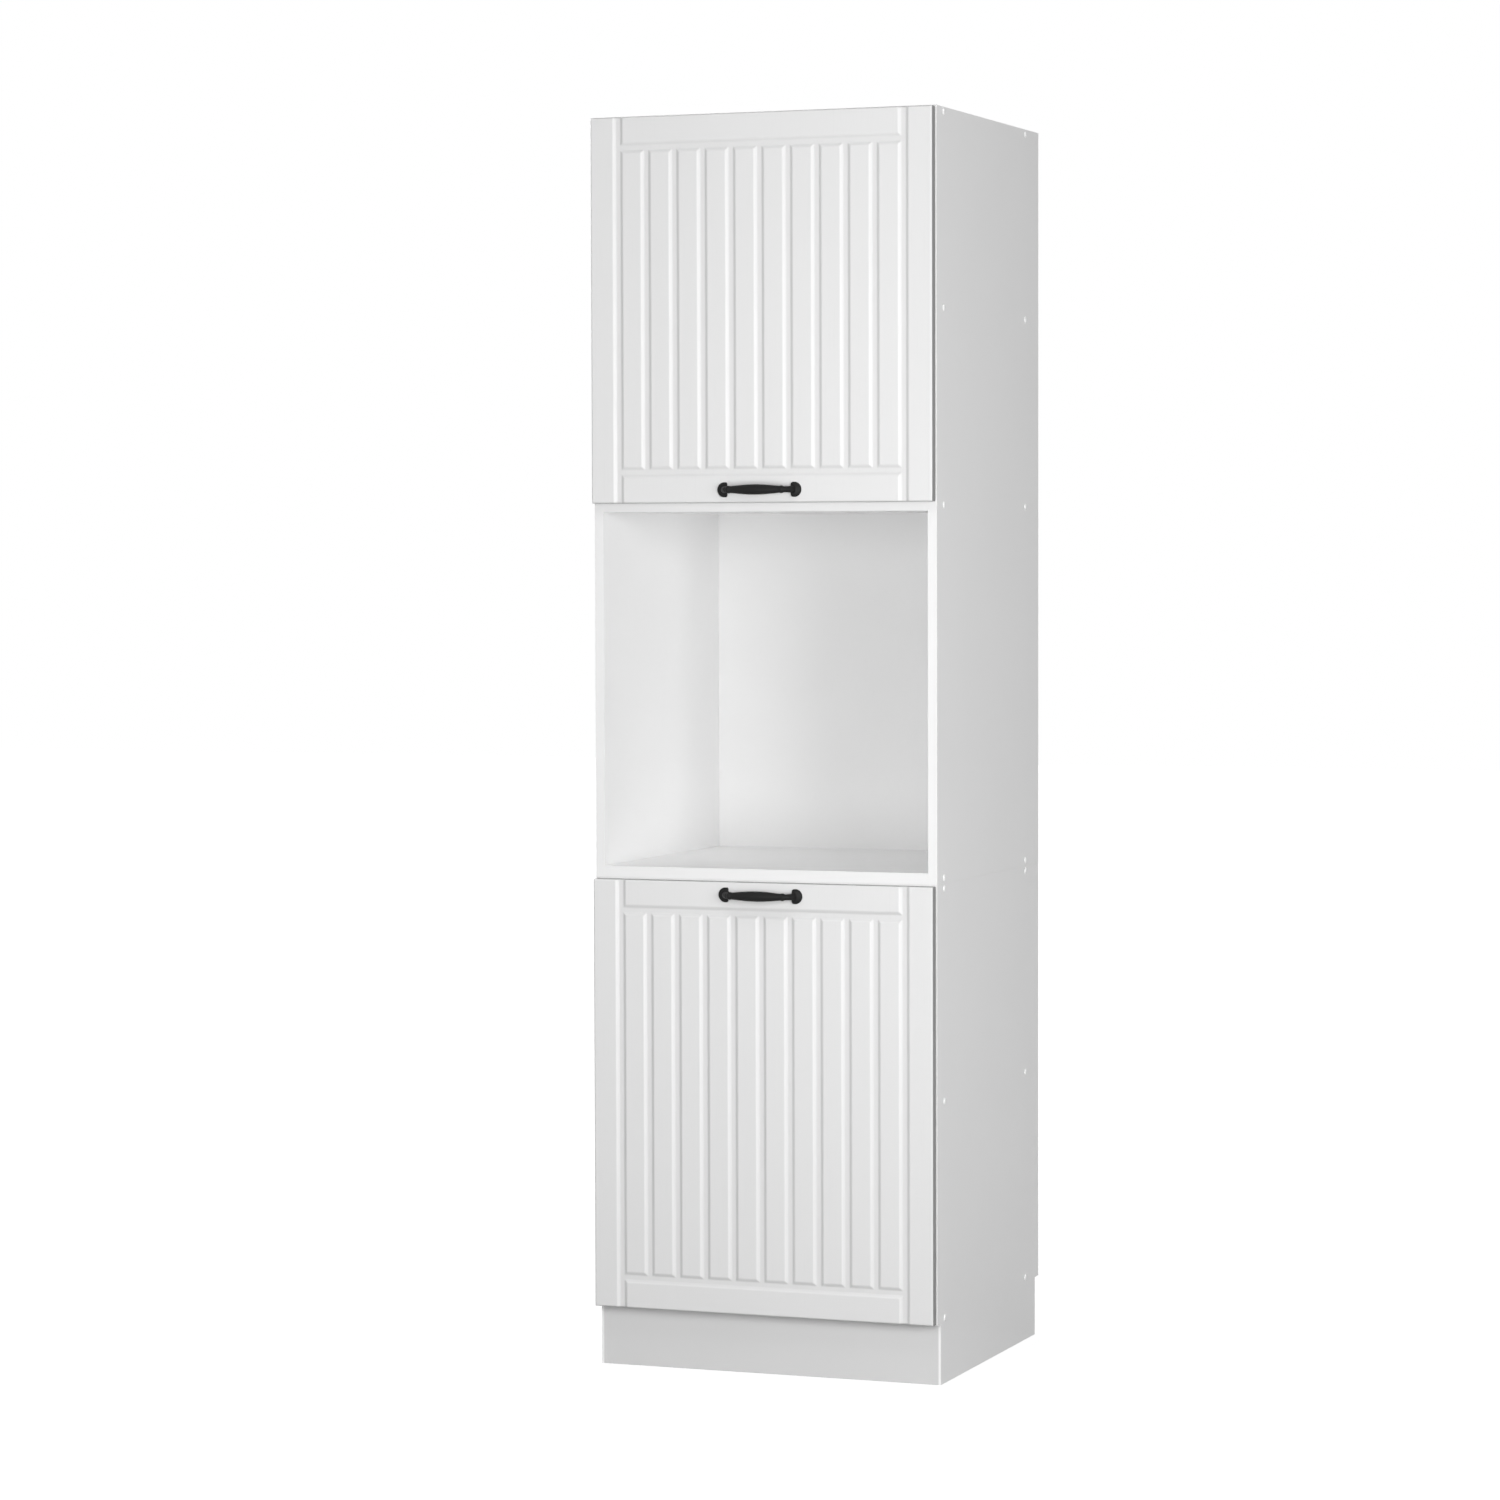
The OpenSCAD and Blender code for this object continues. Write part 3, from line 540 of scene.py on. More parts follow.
def plated_steel(name, colour, roughness):
    """Plated steel with fine drawing marks."""
    finish = Finish(name, Metallic=1.0)
    marks = finish.noise(1400, stretch=(1, 1, 0.05))
    tarnish = finish.noise(60, detail=3.0)
    return finish.paint(
        Base_Color=finish.shaded(colour, finish.rise(tarnish, 0.3, 0.7, 0.88, 1.0)),
        Roughness=finish.rise(marks, 0.3, 0.7, roughness - 0.05, roughness + 0.08),
        Normal=finish.bump(marks, 0.01 * MM, 0.25),
    )


def moulded_plastic(name, colour, roughness=0.35):
    """Injection-moulded plastic with a fine spark-eroded grain."""
    finish = Finish(name, IOR=1.5)
    grain = finish.noise(2200, detail=1.0)
    share = finish.rise(finish.noise(90), 0.25, 0.75, 0.97, 1.0)
    return finish.paint(
        Base_Color=finish.shaded(colour, share),
        Roughness=finish.rise(grain, 0.3, 0.7, roughness - 0.04, roughness + 0.06),
        Normal=finish.bump(grain, 0.015 * MM, 0.4),
    )


def clear_rubber(name, colour):
    """Clear soft rubber."""
    finish = Finish(name, IOR=1.42, Transmission_Weight=0.75)
    haze = finish.noise(500)
    return finish.paint(
        Base_Color=finish.shaded(colour, finish.rise(haze, 0.3, 0.7, 0.94, 1.0)),
        Roughness=finish.rise(haze, 0.3, 0.7, 0.16, 0.26),
    )


# Settings that a user would change

def length(name, text, default, low=0.0, high=1.0):
    return FloatProperty(
        name=name, description=text, default=default, min=low, max=high, unit="LENGTH", precision=4,
    )


def number(name, text, default):
    return FloatProperty(name=name, description=text, default=default, precision=3)


def colour(name, text, default):
    return FloatVectorProperty(
        name=name, description=text, default=default, size=3, min=0.0, max=1.0, subtype="COLOR",
    )


class HousingBoards(PropertyGroup):
    edge_round: length("Edge rounding", "Rounding of the boards' edges", 0.0004)
    edge_band: length("Edge band", "Thickness of the bands on the boards' front edges", 0.001)
    bracket_round: length("Bracket rounding", "Rounding of the steel brackets' edges", 0.0003)
    block_round: length("Block rounding", "Rounding of the plinth blocks' edges", 0.001)


class HousingDoors(PropertyGroup):
    stile_w: length("Stile width", "Width of the flat face of the stiles", 0.040)
    rail_w: length("Rail height", "Height of the flat face of the rails", 0.042)
    groove_w: length("Groove width", "Width of the milled grooves at the face", 0.018)
    base_w: length("Groove base", "Width of the flat base of the grooves", 0.008)
    groove_d: length("Groove depth", "Depth of the milled grooves", 0.003)
    slat_count: IntProperty(name="Slats", description="Slats between the stiles", default=10, min=1)
    front_round: length("Front rounding", "Rounding of the doors' front edges", 0.003)
    groove_round: length("Groove rounding", "Rounding of the grooves' edges under the foil", 0.0013)
    corner_round: length("Corner rounding", "Rounding of the doors' corners", 0.001)
    back_round: length("Back rounding", "Rounding of the doors' back edges", 0.0005)
    cup_d: length("Cup bore", "Diameter of the bores for the hinge cups", 0.0351)
    cup_depth: length("Cup depth", "Depth of the bores for the hinge cups", 0.01205)
    cup_rim: length("Cup rim", "Width by which a cup's rim covers the door", 0.0006)
    pilot_d: length("Pilot hole", "Diameter of the holes for the cup screws", 0.0036)
    pilot_depth: length("Pilot depth", "Depth of the holes for the cup screws", 0.010)
    bolt_d: length("Bolt hole", "Diameter of the holes for the handle screws", 0.0045)
    edge_share: number("Edge tone", "Tone of the doors' edges against their front", 0.38)


class HousingHandles(PropertyGroup):
    rosette_d: length("Rosette", "Diameter of the rosettes", 0.025)
    rosette_h: length("Rosette height", "Height of the rosettes at their centre", 0.006)
    rosette_rim: length("Rosette rim", "Height of the rosettes at their edge", 0.0016)
    rosette_cut: length("Rosette cut", "Distance from a rosette's centre to its cut inner side", 0.005)
    rosette_corner: length("Rosette corner", "Rounding of the corners of a rosette's cut side", 0.003)
    bar_out: length("Bar distance", "Distance of the bar's axis from the door", 0.0212)
    bar_mid_d: length("Bar middle", "Thickness of the bar in the middle", 0.017)
    bar_end_d: length("Bar end", "Thickness of the bar at its ends", 0.011)
    bar_len: length("Bar length", "Length of the bar between its beads", 0.092)
    bead_d: length("Bead", "Diameter of the beads at the bar's ends", 0.0128)
    neck_d: length("Neck", "Thickness of the necks", 0.0104)
    cast_grain: length("Cast grain", "Size of the facets that the cast shape is remade with", 0.0005)


class HousingFittings(PropertyGroup):
    plate_round: length("Hinge rounding", "Rounding of the pressed hinge parts' edges", 0.00025)
    head_d: length("Screw head", "Diameter of the countersunk heads", 0.007)
    shank_d: length("Screw shank", "Diameter of the wood screws' shanks", 0.0035)
    recess_w: length("Recess width", "Width of a cross recess", 0.0009)
    recess_reach: length("Recess reach", "Length of a cross recess across the head", 0.0042)
    recess_d: length("Recess depth", "Depth of a cross recess", 0.0012)


class HousingColours(PropertyGroup):
    board: colour("Boards", "White of the coated boards", (0.945,) * 3)
    # The plinth's white is set far below the boards' as painted shade under the doors' overhang
    plinth: colour("Plinth", "White of the plinth boards", (0.69,) * 3)
    front: colour("Door fronts", "White of the foil on the doors", (0.745,) * 3)
    back: colour("Back panels", "White of the back panels", (0.82,) * 3)
    iron: colour("Handles", "Black of the handles", (0.006,) * 3)
    nickel: colour("Hinges", "Metal of the hinges", (0.66, 0.65, 0.63))
    zinc: colour("Brackets and screws", "Metal of the brackets and screws", (0.62, 0.63, 0.64))
    dark_steel: colour("Pins", "Metal of the hinge pins and clamping screws", (0.34, 0.34, 0.35))
    cap: colour("Screw caps", "White of the screw caps", (0.93,) * 3)
    block: colour("Plinth blocks", "White of the plinth blocks", (0.74, 0.73, 0.70))
    rubber: colour("Door pads", "Tint of the clear door pads", (0.90, 0.92, 0.93))


class HousingStudio(PropertyGroup):
    camera_x: length("Camera X", "Place of the camera across", 2.648384, -20, 20)
    camera_ahead: length("Camera ahead", "Distance of the camera before the carcass front", 6.993146, 0, 30)
    camera_z: length("Camera height", "Height of the camera", 1.37, 0, 5)
    camera_yaw: number("Yaw", "Turn of the camera to the left, in degrees", 20.919)
    camera_pitch: number("Pitch", "Turn of the camera upwards, in degrees", -2.559)
    camera_roll: number("Roll", "Turn of the camera about the view, in degrees", -0.16)
    lens: number("Lens", "Focal length in millimetres on a 36 mm sensor", 109.283)
    sky: number("Sky", "Strength of the light from all round", 0.20)
    backdrop: number("Backdrop", "Share of the floor's own white in the picture", 0.82)
    bounce: number("Bounce", "Share of its white that the floor gives back", 0.25)


# The lamps' names and descriptions, watts, distances, turns to the right in degrees, heights and widths
LAMPS = (
    ("key", "main lamp", 132.0, 5.0, 50, 1.3, 2.2),
    ("fill", "front lamp", 46.0, 3.0, 8, 1.1, 1.6),
    ("top", "high lamp", 27.0, 2.6, 10, 4.5, 1.6),
    ("rear", "lamp behind", 150.0, 4.0, 216, 3.2, 2.4),
)


def lamp_settings(lamp, words, watts, distance, side, height, width):
    """The settings of one lamp, each under the lamp's own name."""
    title = lamp.capitalize()
    return {
        lamp + "_power": number(f"{title} lamp", f"Power of the {words}, in watts", watts),
        lamp + "_distance": length(f"{title} distance", f"Distance of the {words}", distance, 0, 20),
        lamp + "_side": number(f"{title} side", f"Turn of the {words} to the right, in degrees", side),
        lamp + "_height": length(f"{title} height", f"Height of the {words}", height, 0, 10),
        lamp + "_size": length(f"{title} size", f"Width of the {words}", width, 0, 10),
    }


for settings in LAMPS:
    HousingStudio.__annotations__.update(lamp_settings(*settings))

SETTINGS = {
    "housing_boards": HousingBoards,
    "housing_doors": HousingDoors,
    "housing_handles": HousingHandles,
    "housing_fittings": HousingFittings,
    "housing_colours": HousingColours,
    "housing_studio": HousingStudio,
}


# Boards

def soften(node, material, width, test=is_sharp):
    """Stands a copy of a CAD node with rounded edges in its place."""
    piece = copy_cad(node, node + "_finished")
    round_edges(piece, test, width)
    finish_piece(piece, node, material)


def is_outline(edge, shortest=12 * MM):
    """An outer edge of a board, and not one round a hole."""
    return is_sharp(edge) and edge.calc_length() > shortest


def is_lengthwise(edge):
    """An outer edge of a board that runs across the housing."""
    run = edge.verts[1].co - edge.verts[0].co
    return is_outline(edge) and abs(run.x) > 0.9 * run.length


class HOUSING_OT_boards(Operator):
    """Finish the side panels, boards, shelves, plinth boards and back panels"""

    bl_idname = "housing.boards"
    bl_label = "Boards"

    def execute(self, context):
        sizes = context.scene.housing_boards
        colours = context.scene.housing_colours
        flush = melamine("melamine_flush", colours.board, CARCASS_FRONT, sizes.edge_band)
        inset = melamine("melamine_shelves", colours.board, SHELF_FRONT, sizes.edge_band)
        # The plinth is the boards' melamine darkened as painted shade
        plinth = melamine("melamine_plinth", colours.plinth)
        # The share of painted shade that the side panels' toe edges take from the plinth
        toe_shade_share = colours.plinth[0] / colours.board[0]
        sides = melamine("melamine_sides", colours.board, CARCASS_FRONT, sizes.edge_band, toe_shade_share)
        for nodes, material, test in (
            (SIDES, sides, is_outline), (FLUSH_BOARDS, flush, is_lengthwise),
            (SHELVES, inset, is_lengthwise), (PLINTH_BOARDS, plinth, is_lengthwise),
        ):
            for node in nodes:
                soften(node, material, sizes.edge_round, test)
        back = painted_back("back_board_white", colours.back)
        for node in BACKS:
            paint_node(node, back)
        return {"FINISHED"}


class HOUSING_OT_blocks(Operator):
    """Finish the plinth blocks and the wall brackets"""

    bl_idname = "housing.blocks"
    bl_label = "Blocks and brackets"

    def execute(self, context):
        sizes = context.scene.housing_boards
        colours = context.scene.housing_colours
        soften("plinth_blocks", moulded_plastic("block_plastic", colours.block),
               sizes.block_round, is_outline)
        zinc = plated_steel("bracket_zinc", colours.zinc, 0.34)
        for node in BRACKETS:
            soften(node, zinc, sizes.bracket_round)
        return {"FINISHED"}


# Doors

def door_grooves(low, high, sizes):
    """The middles of a door's grooves: by the stiles, between the slats, and by the rails."""
    by_stile = (high.x - low.x) / 2 - sizes.stile_w - sizes.groove_w / 2
    pitch = 2 * by_stile / sizes.slat_count
    slats = [-by_stile + i * pitch for i in range(1, sizes.slat_count)]
    edge = sizes.rail_w + sizes.groove_w / 2
    return by_stile, slats, (low.z + edge, high.z - edge)


def mill_door(node, name, sizes):
    """A door blank whose face is divided along the grooves, their bases pressed in, and all edges rounded."""
    low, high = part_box(node)
    by_stile, slats, rails = door_grooves(low, high, sizes)
    half_face, half_base = sizes.groove_w / 2, sizes.base_w / 2
    uprights = [-by_stile, *slats, by_stile]
    piece = add_block(name, low, high)

    def in_base(vert):
        x, y, z = vert.co
        if abs(y - low.y) > TINY:
            return False
        beside_stile = abs(abs(x) - by_stile) < half_base + TINY
        by_rail = min(abs(z - rail) for rail in rails) < half_base + TINY
        over_rail = by_rail and abs(x) < by_stile + half_base
        in_field = rails[0] - TINY < z < rails[1] + TINY
        between_slats = in_field and min(abs(x - slat) for slat in slats) < half_base + TINY
        return beside_stile or over_rail or between_slats

    def is_mitre_end(vert):
        x, y, z = vert.co
        if y > low.y + sizes.groove_d + TINY:
            return False
        across = min(abs(x - upright) for upright in uprights)
        along = min(abs(z - rail) for rail in rails)
        return abs(across - along) < TINY and min(abs(across - half_base), abs(across - half_face)) < TINY

    with editing(piece):
        for axis, centres in ((Vector((1, 0, 0)), uprights), (Vector((0, 0, 1)), rails)):
            for centre in centres:
                for offset in (-half_face, -half_base, half_base, half_face):
                    bpy.ops.mesh.select_all(action="SELECT")
                    bpy.ops.mesh.bisect(plane_co=(centre + offset) * axis, plane_no=axis)
        pick("VERT", in_base)
        bpy.ops.transform.translate(value=(0, sizes.groove_d, 0))
        pick("VERT", is_mitre_end)
        bpy.ops.mesh.vert_connect()
        bpy.ops.mesh.select_all(action="SELECT")
        bpy.ops.mesh.dissolve_limited(angle_limit=FLAT)
    round_door(piece, low, high, sizes)
    return piece


def round_door(piece, low, high, sizes):
    """Rounds a door's front outline, corners, back edges and grooves, each by its own width."""
    widths = []
    for edge in piece.data.edges:
        a, b = (piece.data.vertices[i].co for i in edge.vertices)
        rims = [
            all(abs(point[i] - side[i]) < TINY for point in (a, b))
            for i in (0, 2) for side in (low, high)
        ]
        if all(abs(point.y - high.y) < TINY for point in (a, b)):
            widths.append(sizes.back_round)
        elif abs(a.y - b.y) > 2 * sizes.groove_d:
            widths.append(sizes.corner_round)
        elif any(rims):
            widths.append(sizes.front_round)
        else:
            widths.append(sizes.groove_round)
    weights = piece.data.attributes.new("bevel_weight_edge", "FLOAT", "EDGE")
    weights.data.foreach_set("value", [width / sizes.front_round for width in widths])
    modifier = piece.modifiers.new("rounding", "BEVEL")
    modifier.limit_method = "WEIGHT"
    modifier.width = sizes.front_round
    modifier.segments = 4
    modifier.use_clamp_overlap = False
    apply_modifiers(piece)


def bore_door(piece, level, sizes):
    """Bores a door for its hinge cups, their screws and the handle's screws."""
    low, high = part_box(level + "_door")

    def bore(centre, depth, width, sides=24):
        start, end = (centre.x, high.y - depth, centre.z), (centre.x, high.y + MM, centre.z)
        cut(piece, add_rod("cutter", start, end, width / 2, sides))

    for end in ("bottom", "top"):
        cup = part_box("hinge_cup_" + level + "_" + end)
        centre = middle(cup)
        centre.x = cup[0].x + sizes.cup_rim + sizes.cup_d / 2
        bore(centre, sizes.cup_depth, sizes.cup_d, 64)
    for screw in solids_of("hinge_cup_screws_" + level):
        bore(middle(screw), sizes.pilot_depth, sizes.pilot_d)
    for screw in solids_of(level + "_handle_screws"):
        bore(middle(screw), high.y - low.y + MM, sizes.bolt_d)


class HOUSING_OT_doors(Operator):
    """Model the two milled doors"""

    bl_idname = "housing.doors"
    bl_label = "Doors"

    def execute(self, context):
        sizes = context.scene.housing_doors
        colours = context.scene.housing_colours
        for level in DOORS:
            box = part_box(level + "_door")
            foil = pressed_foil(level + "_door_foil", colours.front, box, sizes.edge_share)
            piece = mill_door(level + "_door", level + "_door_milled", sizes)
            bore_door(piece, level, sizes)
            finish_piece(piece, level + "_door", foil, 30)
        return {"FINISHED"}


# Handles

# Points along a neck, as shares of its way from the bar's end to its foot and of the bar's distance
NECK_PATH = ((0, 1), (0.42, 0.92), (0.74, 0.68), (0.92, 0.42), (1, 0.16))
# Thickness of a neck at each of those points and at its end, as shares of its usual one
NECK_SWELL = (0.9, 0.95, 1.0, 1.06, 1.2, 1.3)
# Distance of a neck's foot from the cut side of its rosette, and of its end from the door's face
NECK_SEAT = 3.5 * MM
NECK_END = 1 * MM
# Half the height that is kept of a rosette, as a share of its diameter
ROSETTE_KEPT = 0.492
# Power of the curve that the bar swells by, above 1 for slimmer ends
BAR_CURVE = 1.2


def bar_profile(sizes, steps=14):
    """Radii along the bar: a barrel that swells to the middle, as (radius, place along the bar)."""
    half = sizes.bar_len / 2
    swell = (sizes.bar_mid_d - sizes.bar_end_d) / 2
    places = [-half + sizes.bar_len * i / steps for i in range(steps + 1)]
    body = [
        (sizes.bar_end_d / 2 + swell * math.cos(math.pi / 2 * place / half) ** BAR_CURVE, place)
        for place in places
    ]
    return [(0, -half), *body, (0, half)]


def rosette_profile(sizes, steps=6):
    """A low dome on a short rim."""
    radius = sizes.rosette_d / 2
    rise = sizes.rosette_h - sizes.rosette_rim
    dome = [
        (radius * math.sin(angle), sizes.rosette_rim + rise * math.cos(angle))
        for angle in [math.pi / 2 * i / steps for i in range(steps, -1, -1)]
    ]
    return [(0, 0), (radius, 0), *dome[:-1], (0, sizes.rosette_h)]


def sweep(name, points, radii, sides=24):
    """A tube through points in a level plane, extruded ring by ring."""
    deselect_all()
    points = [Vector(point) for point in points]
    runs = [(b - a).normalized() for a, b in zip(points, points[1:])]
    headings = [runs[0], *[(a + b).normalized() for a, b in zip(runs, runs[1:])], runs[-1]]
    bpy.ops.mesh.primitive_circle_add(
        vertices=sides, radius=radii[0], fill_type="NGON", location=points[0],
        rotation=headings[0].to_track_quat("Z", "Y").to_euler(),
    )
    piece = take_added(name)
    with editing(piece):
        for i in range(1, len(points)):
            bend = headings[i - 1].to_2d().angle_signed(headings[i].to_2d())
            bpy.ops.mesh.extrude_region_move(
                TRANSFORM_OT_translate={"value": points[i] - points[i - 1]},
            )
            bpy.ops.transform.rotate(value=bend, orient_axis="Z", center_override=points[i])
            ratio = radii[i] / radii[i - 1]
            bpy.ops.transform.resize(value=(ratio, ratio, ratio), center_override=points[i])
        bpy.ops.mesh.select_all(action="SELECT")
        bpy.ops.mesh.normals_make_consistent(inside=False)
    return piece


def rosette_outline(side, rosette_x, sizes):
    """A block that leaves of a rosette what lies outside its cut side, whose two corners are rounded."""
    inner = side * (rosette_x - sizes.rosette_cut)
    far = inner + side * sizes.rosette_d
    half = ROSETTE_KEPT * sizes.rosette_d
    block = add_block(
        "outline", (min(inner, far), -sizes.rosette_h - MM, -half), (max(inner, far), MM, half),
    )
    round_edges(
        block, lambda edge: all(abs(vert.co.x - inner) < TINY for vert in edge.verts)
        and abs(edge.verts[0].co.z - edge.verts[1].co.z) < TINY, sizes.rosette_corner, 5,
    )
    return block


def cast_handle(name, place, rosette_x, sizes):
    """One handle: bar, beads, bowed necks and cut rosettes, fused into one cast shape."""
    pieces = []
    bar = lathe("bar", bar_profile(sizes), 40)
    pieces.append(copy_at(bar, Matrix.Translation((0, -sizes.bar_out, 0)) @ ALONG["+X"], "bar"))
    remove(bar)
    dome = lathe("rosette", rosette_profile(sizes), 64)
    for side in (-1, 1):
        end = side * sizes.bar_len / 2
        deselect_all()
        bpy.ops.mesh.primitive_uv_sphere_add(
            segments=32, ring_count=16, radius=sizes.bead_d / 2, location=(end, -sizes.bar_out, 0),
        )
        pieces.append(take_added("bead"))
        foot = side * (rosette_x - sizes.rosette_cut + NECK_SEAT)
        path = [(end + along * (foot - end), -out * sizes.bar_out, 0) for along, out in NECK_PATH]
        radii = [share * sizes.neck_d / 2 for share in NECK_SWELL]
        pieces.append(sweep("neck", [*path, (foot, -NECK_END, 0)], radii))
        rosette = copy_at(dome, Matrix.Translation((side * rosette_x, 0, 0)) @ ALONG["-Y"], "rosette")
        cut(rosette, rosette_outline(side, rosette_x, sizes), "INTERSECT")
        pieces.append(rosette)
    remove(dome)
    piece = join(name, pieces)
    fuse = piece.modifiers.new("fuse", "REMESH")
    fuse.mode = "VOXEL"
    fuse.voxel_size = sizes.cast_grain
    soft = piece.modifiers.new("soften", "SMOOTH")
    soft.factor = 0.5
    soft.iterations = 6
    apply_modifiers(piece)
    piece.location = place
    apply_places(piece)
    return piece


class HOUSING_OT_handles(Operator):
    """Model the two cast bow handles"""

    bl_idname = "housing.handles"
    bl_label = "Handles"

    def execute(self, context):
        sizes = context.scene.housing_handles
        iron = black_iron("handle_iron", context.scene.housing_colours.iron)
        for level in DOORS:
            low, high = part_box(level + "_handle")
            place = Vector(((low.x + high.x) / 2, high.y, (low.z + high.z) / 2))
            rosette_x = (high.x - low.x) / 2 - sizes.rosette_d / 2
            piece = cast_handle(level + "_handle_cast", place, rosette_x, sizes)
            finish_piece(piece, level + "_handle", iron, 60)
        return {"FINISHED"}


# Fittings

# Half sections of round heads, caps and pads, as shares of their radius and height
CAP_DOME = ((0, 1), (0.5, 0.97), (0.76, 0.86), (0.91, 0.64), (0.98, 0.3), (1, 0), (0, 0))
PAD_DOME = ((0, 1), (0.5, 0.98), (0.8, 0.84), (0.95, 0.5), (1, 0.1), (1, 0), (0, 0))
NAIL_HEAD = ((0, 1), (0.6, 0.92), (0.9, 0.6), (1, 0.2), (1, 0))
PAN_HEAD = ((0, 1), (0.6, 0.96), (0.88, 0.78), (1, 0.35), (1, 0))


def scaled(shares, radius, height):
    return [(radius * across, height * along) for across, along in shares]


def copies(source, node, axis, material, base_of, step=0.0):
    """Copies a small piece along an axis to each solid of a node, each a step further round, as one piece."""
    pieces = []
    for i, box in enumerate(solids_of(node)):
        heading = ALONG[axis(box) if callable(axis) else axis]
        place = Matrix.Translation(base_of(box)) @ heading @ Matrix.Rotation(step * i, 4, "Z")
        pieces.append(copy_at(source, place, node + "_copy"))
    remove(source)
    finish_piece(join(node + "_finished", pieces), node, material)


def end_of(axis, high):
    """A function that gives the middle of a box's face at one end of an axis."""
    index = "XYZ".index(axis)

    def place(box):
        point = middle(box)
        point[index] = box[1 if high else 0][index]
        return point

    return place


def at_depth(y):
    """A function that gives a box's middle, moved to a depth in the housing."""
    return lambda box: Vector((middle(box).x, y, middle(box).z))


def wood_screw(name, reach, sizes):
    """A countersunk screw with a cross recess, its head's face at the origin, pointing along Z."""
    head, shank = sizes.head_d / 2, sizes.shank_d / 2
    profile = [
        (0, -0.12 * MM), (head * 0.55, -0.08 * MM), (head * 0.9, 0.02 * MM), (head, 0.18 * MM),
        (head, 0.34 * MM), (shank * 1.25, 1.8 * MM), (shank, 2.3 * MM), (shank, reach - 3 * MM),
        (0.3 * MM, reach - 0.1 * MM), (0, reach),
    ]
    piece = lathe(name, profile, 28)
    cross_recess(piece, sizes)
    return piece


def pan_screw(name, radius, height, shank, reach, sizes):
    """A screw with a flat round head that stands on the origin's plane, pointing along Z."""
    head = scaled(PAN_HEAD, radius, -height)
    piece = lathe(name, [*head, (shank, 0), (shank, reach), (0, reach)], 32)
    cross_recess(piece, sizes, -height)
    return piece


def cross_recess(piece, sizes, top=0.0):
    """Cuts a cross into a screw's head."""
    w, reach = sizes.recess_w / 2, sizes.recess_reach / 2
    for x, y in ((w, reach), (reach, w)):
        cut(piece, add_block("cutter", (-x, -y, top - MM), (x, y, top + sizes.recess_d)))


class HOUSING_OT_screws(Operator):
    """Model the screws and nails that show"""

    bl_idname = "housing.screws"
    bl_label = "Screws and nails"

    def execute(self, context):
        sizes = context.scene.housing_fittings
        colours = context.scene.housing_colours
        zinc = plated_steel("screw_zinc", colours.zinc, 0.30)
        dark = plated_steel("screw_dark", colours.dark_steel, 0.36)
        self.wood_screws(sizes, zinc)
        self.handle_screws(sizes, zinc)
        for node in ("carcass_screws", "plinth_block_screws"):
            paint_node(node, zinc)
        self.nails(zinc)
        screw = wood_screw("screw", 14 * MM, sizes)
        copies(screw, "hinge_arm_screws", "-X", dark, end_of("X", True), step=0.7)
        return {"FINISHED"}

    def wood_screws(self, sizes, material):
        groups = {
            "joining_screws": ("+Z", 30 * MM, end_of("Z", False)),
            "wall_bracket_screws": ("+Z", 14 * MM, end_of("Z", False)),
            "hinge_plate_screws": ("-X", 14 * MM, end_of("X", True)),
            "hinge_cup_screws_lower": ("-Y", 11 * MM, end_of("Y", True)),
            "hinge_cup_screws_upper": ("-Y", 11 * MM, end_of("Y", True)),
        }
        for node, (axis, reach, base_of) in groups.items():
            screw = wood_screw("screw", reach, sizes)
            copies(screw, node, axis, material, base_of, step=0.9)

    def handle_screws(self, sizes, material):
        for level in DOORS:
            node = level + "_handle_screws"
            low, high = solids_of(node)[0]
            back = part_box(level + "_door")[1].y
            radius = (high.x - low.x) / 2
            screw = pan_screw("screw", radius, high.y - back, 2 * MM, back - low.y, sizes)
            copies(screw, node, "-Y", material, at_depth(back), step=0.5)

    def nails(self, material):
        node = "back_panel_nails"
        low, high = solids_of(node)[0]
        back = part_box("lower_back_panel")[1].y
        radius, tip = (high.x - low.x) / 2, low.y - back
        head, shank = scaled(NAIL_HEAD, radius, high.y - back), radius * 0.4
        nail = lathe("nail", [*head, (shank, 0), (shank, tip), (0, tip)], 20)
        copies(nail, node, "+Y", material, at_depth(back))


class HOUSING_OT_caps(Operator):
    """Model the screw caps on the side panels and the pads on the doors"""

    bl_idname = "housing.caps"
    bl_label = "Caps and pads"

    def execute(self, context):
        colours = context.scene.housing_colours
        low, high = solids_of("screw_caps")[0]
        cap = lathe("cap", scaled(CAP_DOME, (high.z - low.z) / 2, high.x - low.x), 40)
        copies(
            cap, "screw_caps", lambda box: "+X" if box[0].x > 0 else "-X",
            moulded_plastic("cap_plastic", colours.cap, 0.3),
            lambda box: end_of("X", box[0].x < 0)(box),
        )
        rubber = clear_rubber("pad_rubber", colours.rubber)
        for level in DOORS:
            node = level + "_door_bumpers"
            low, high = solids_of(node)[0]
            pad = lathe("pad", scaled(PAD_DOME, (high.x - low.x) / 2, high.y - low.y), 32)
            copies(pad, node, "+Y", rubber, end_of("Y", False))
        return {"FINISHED"}


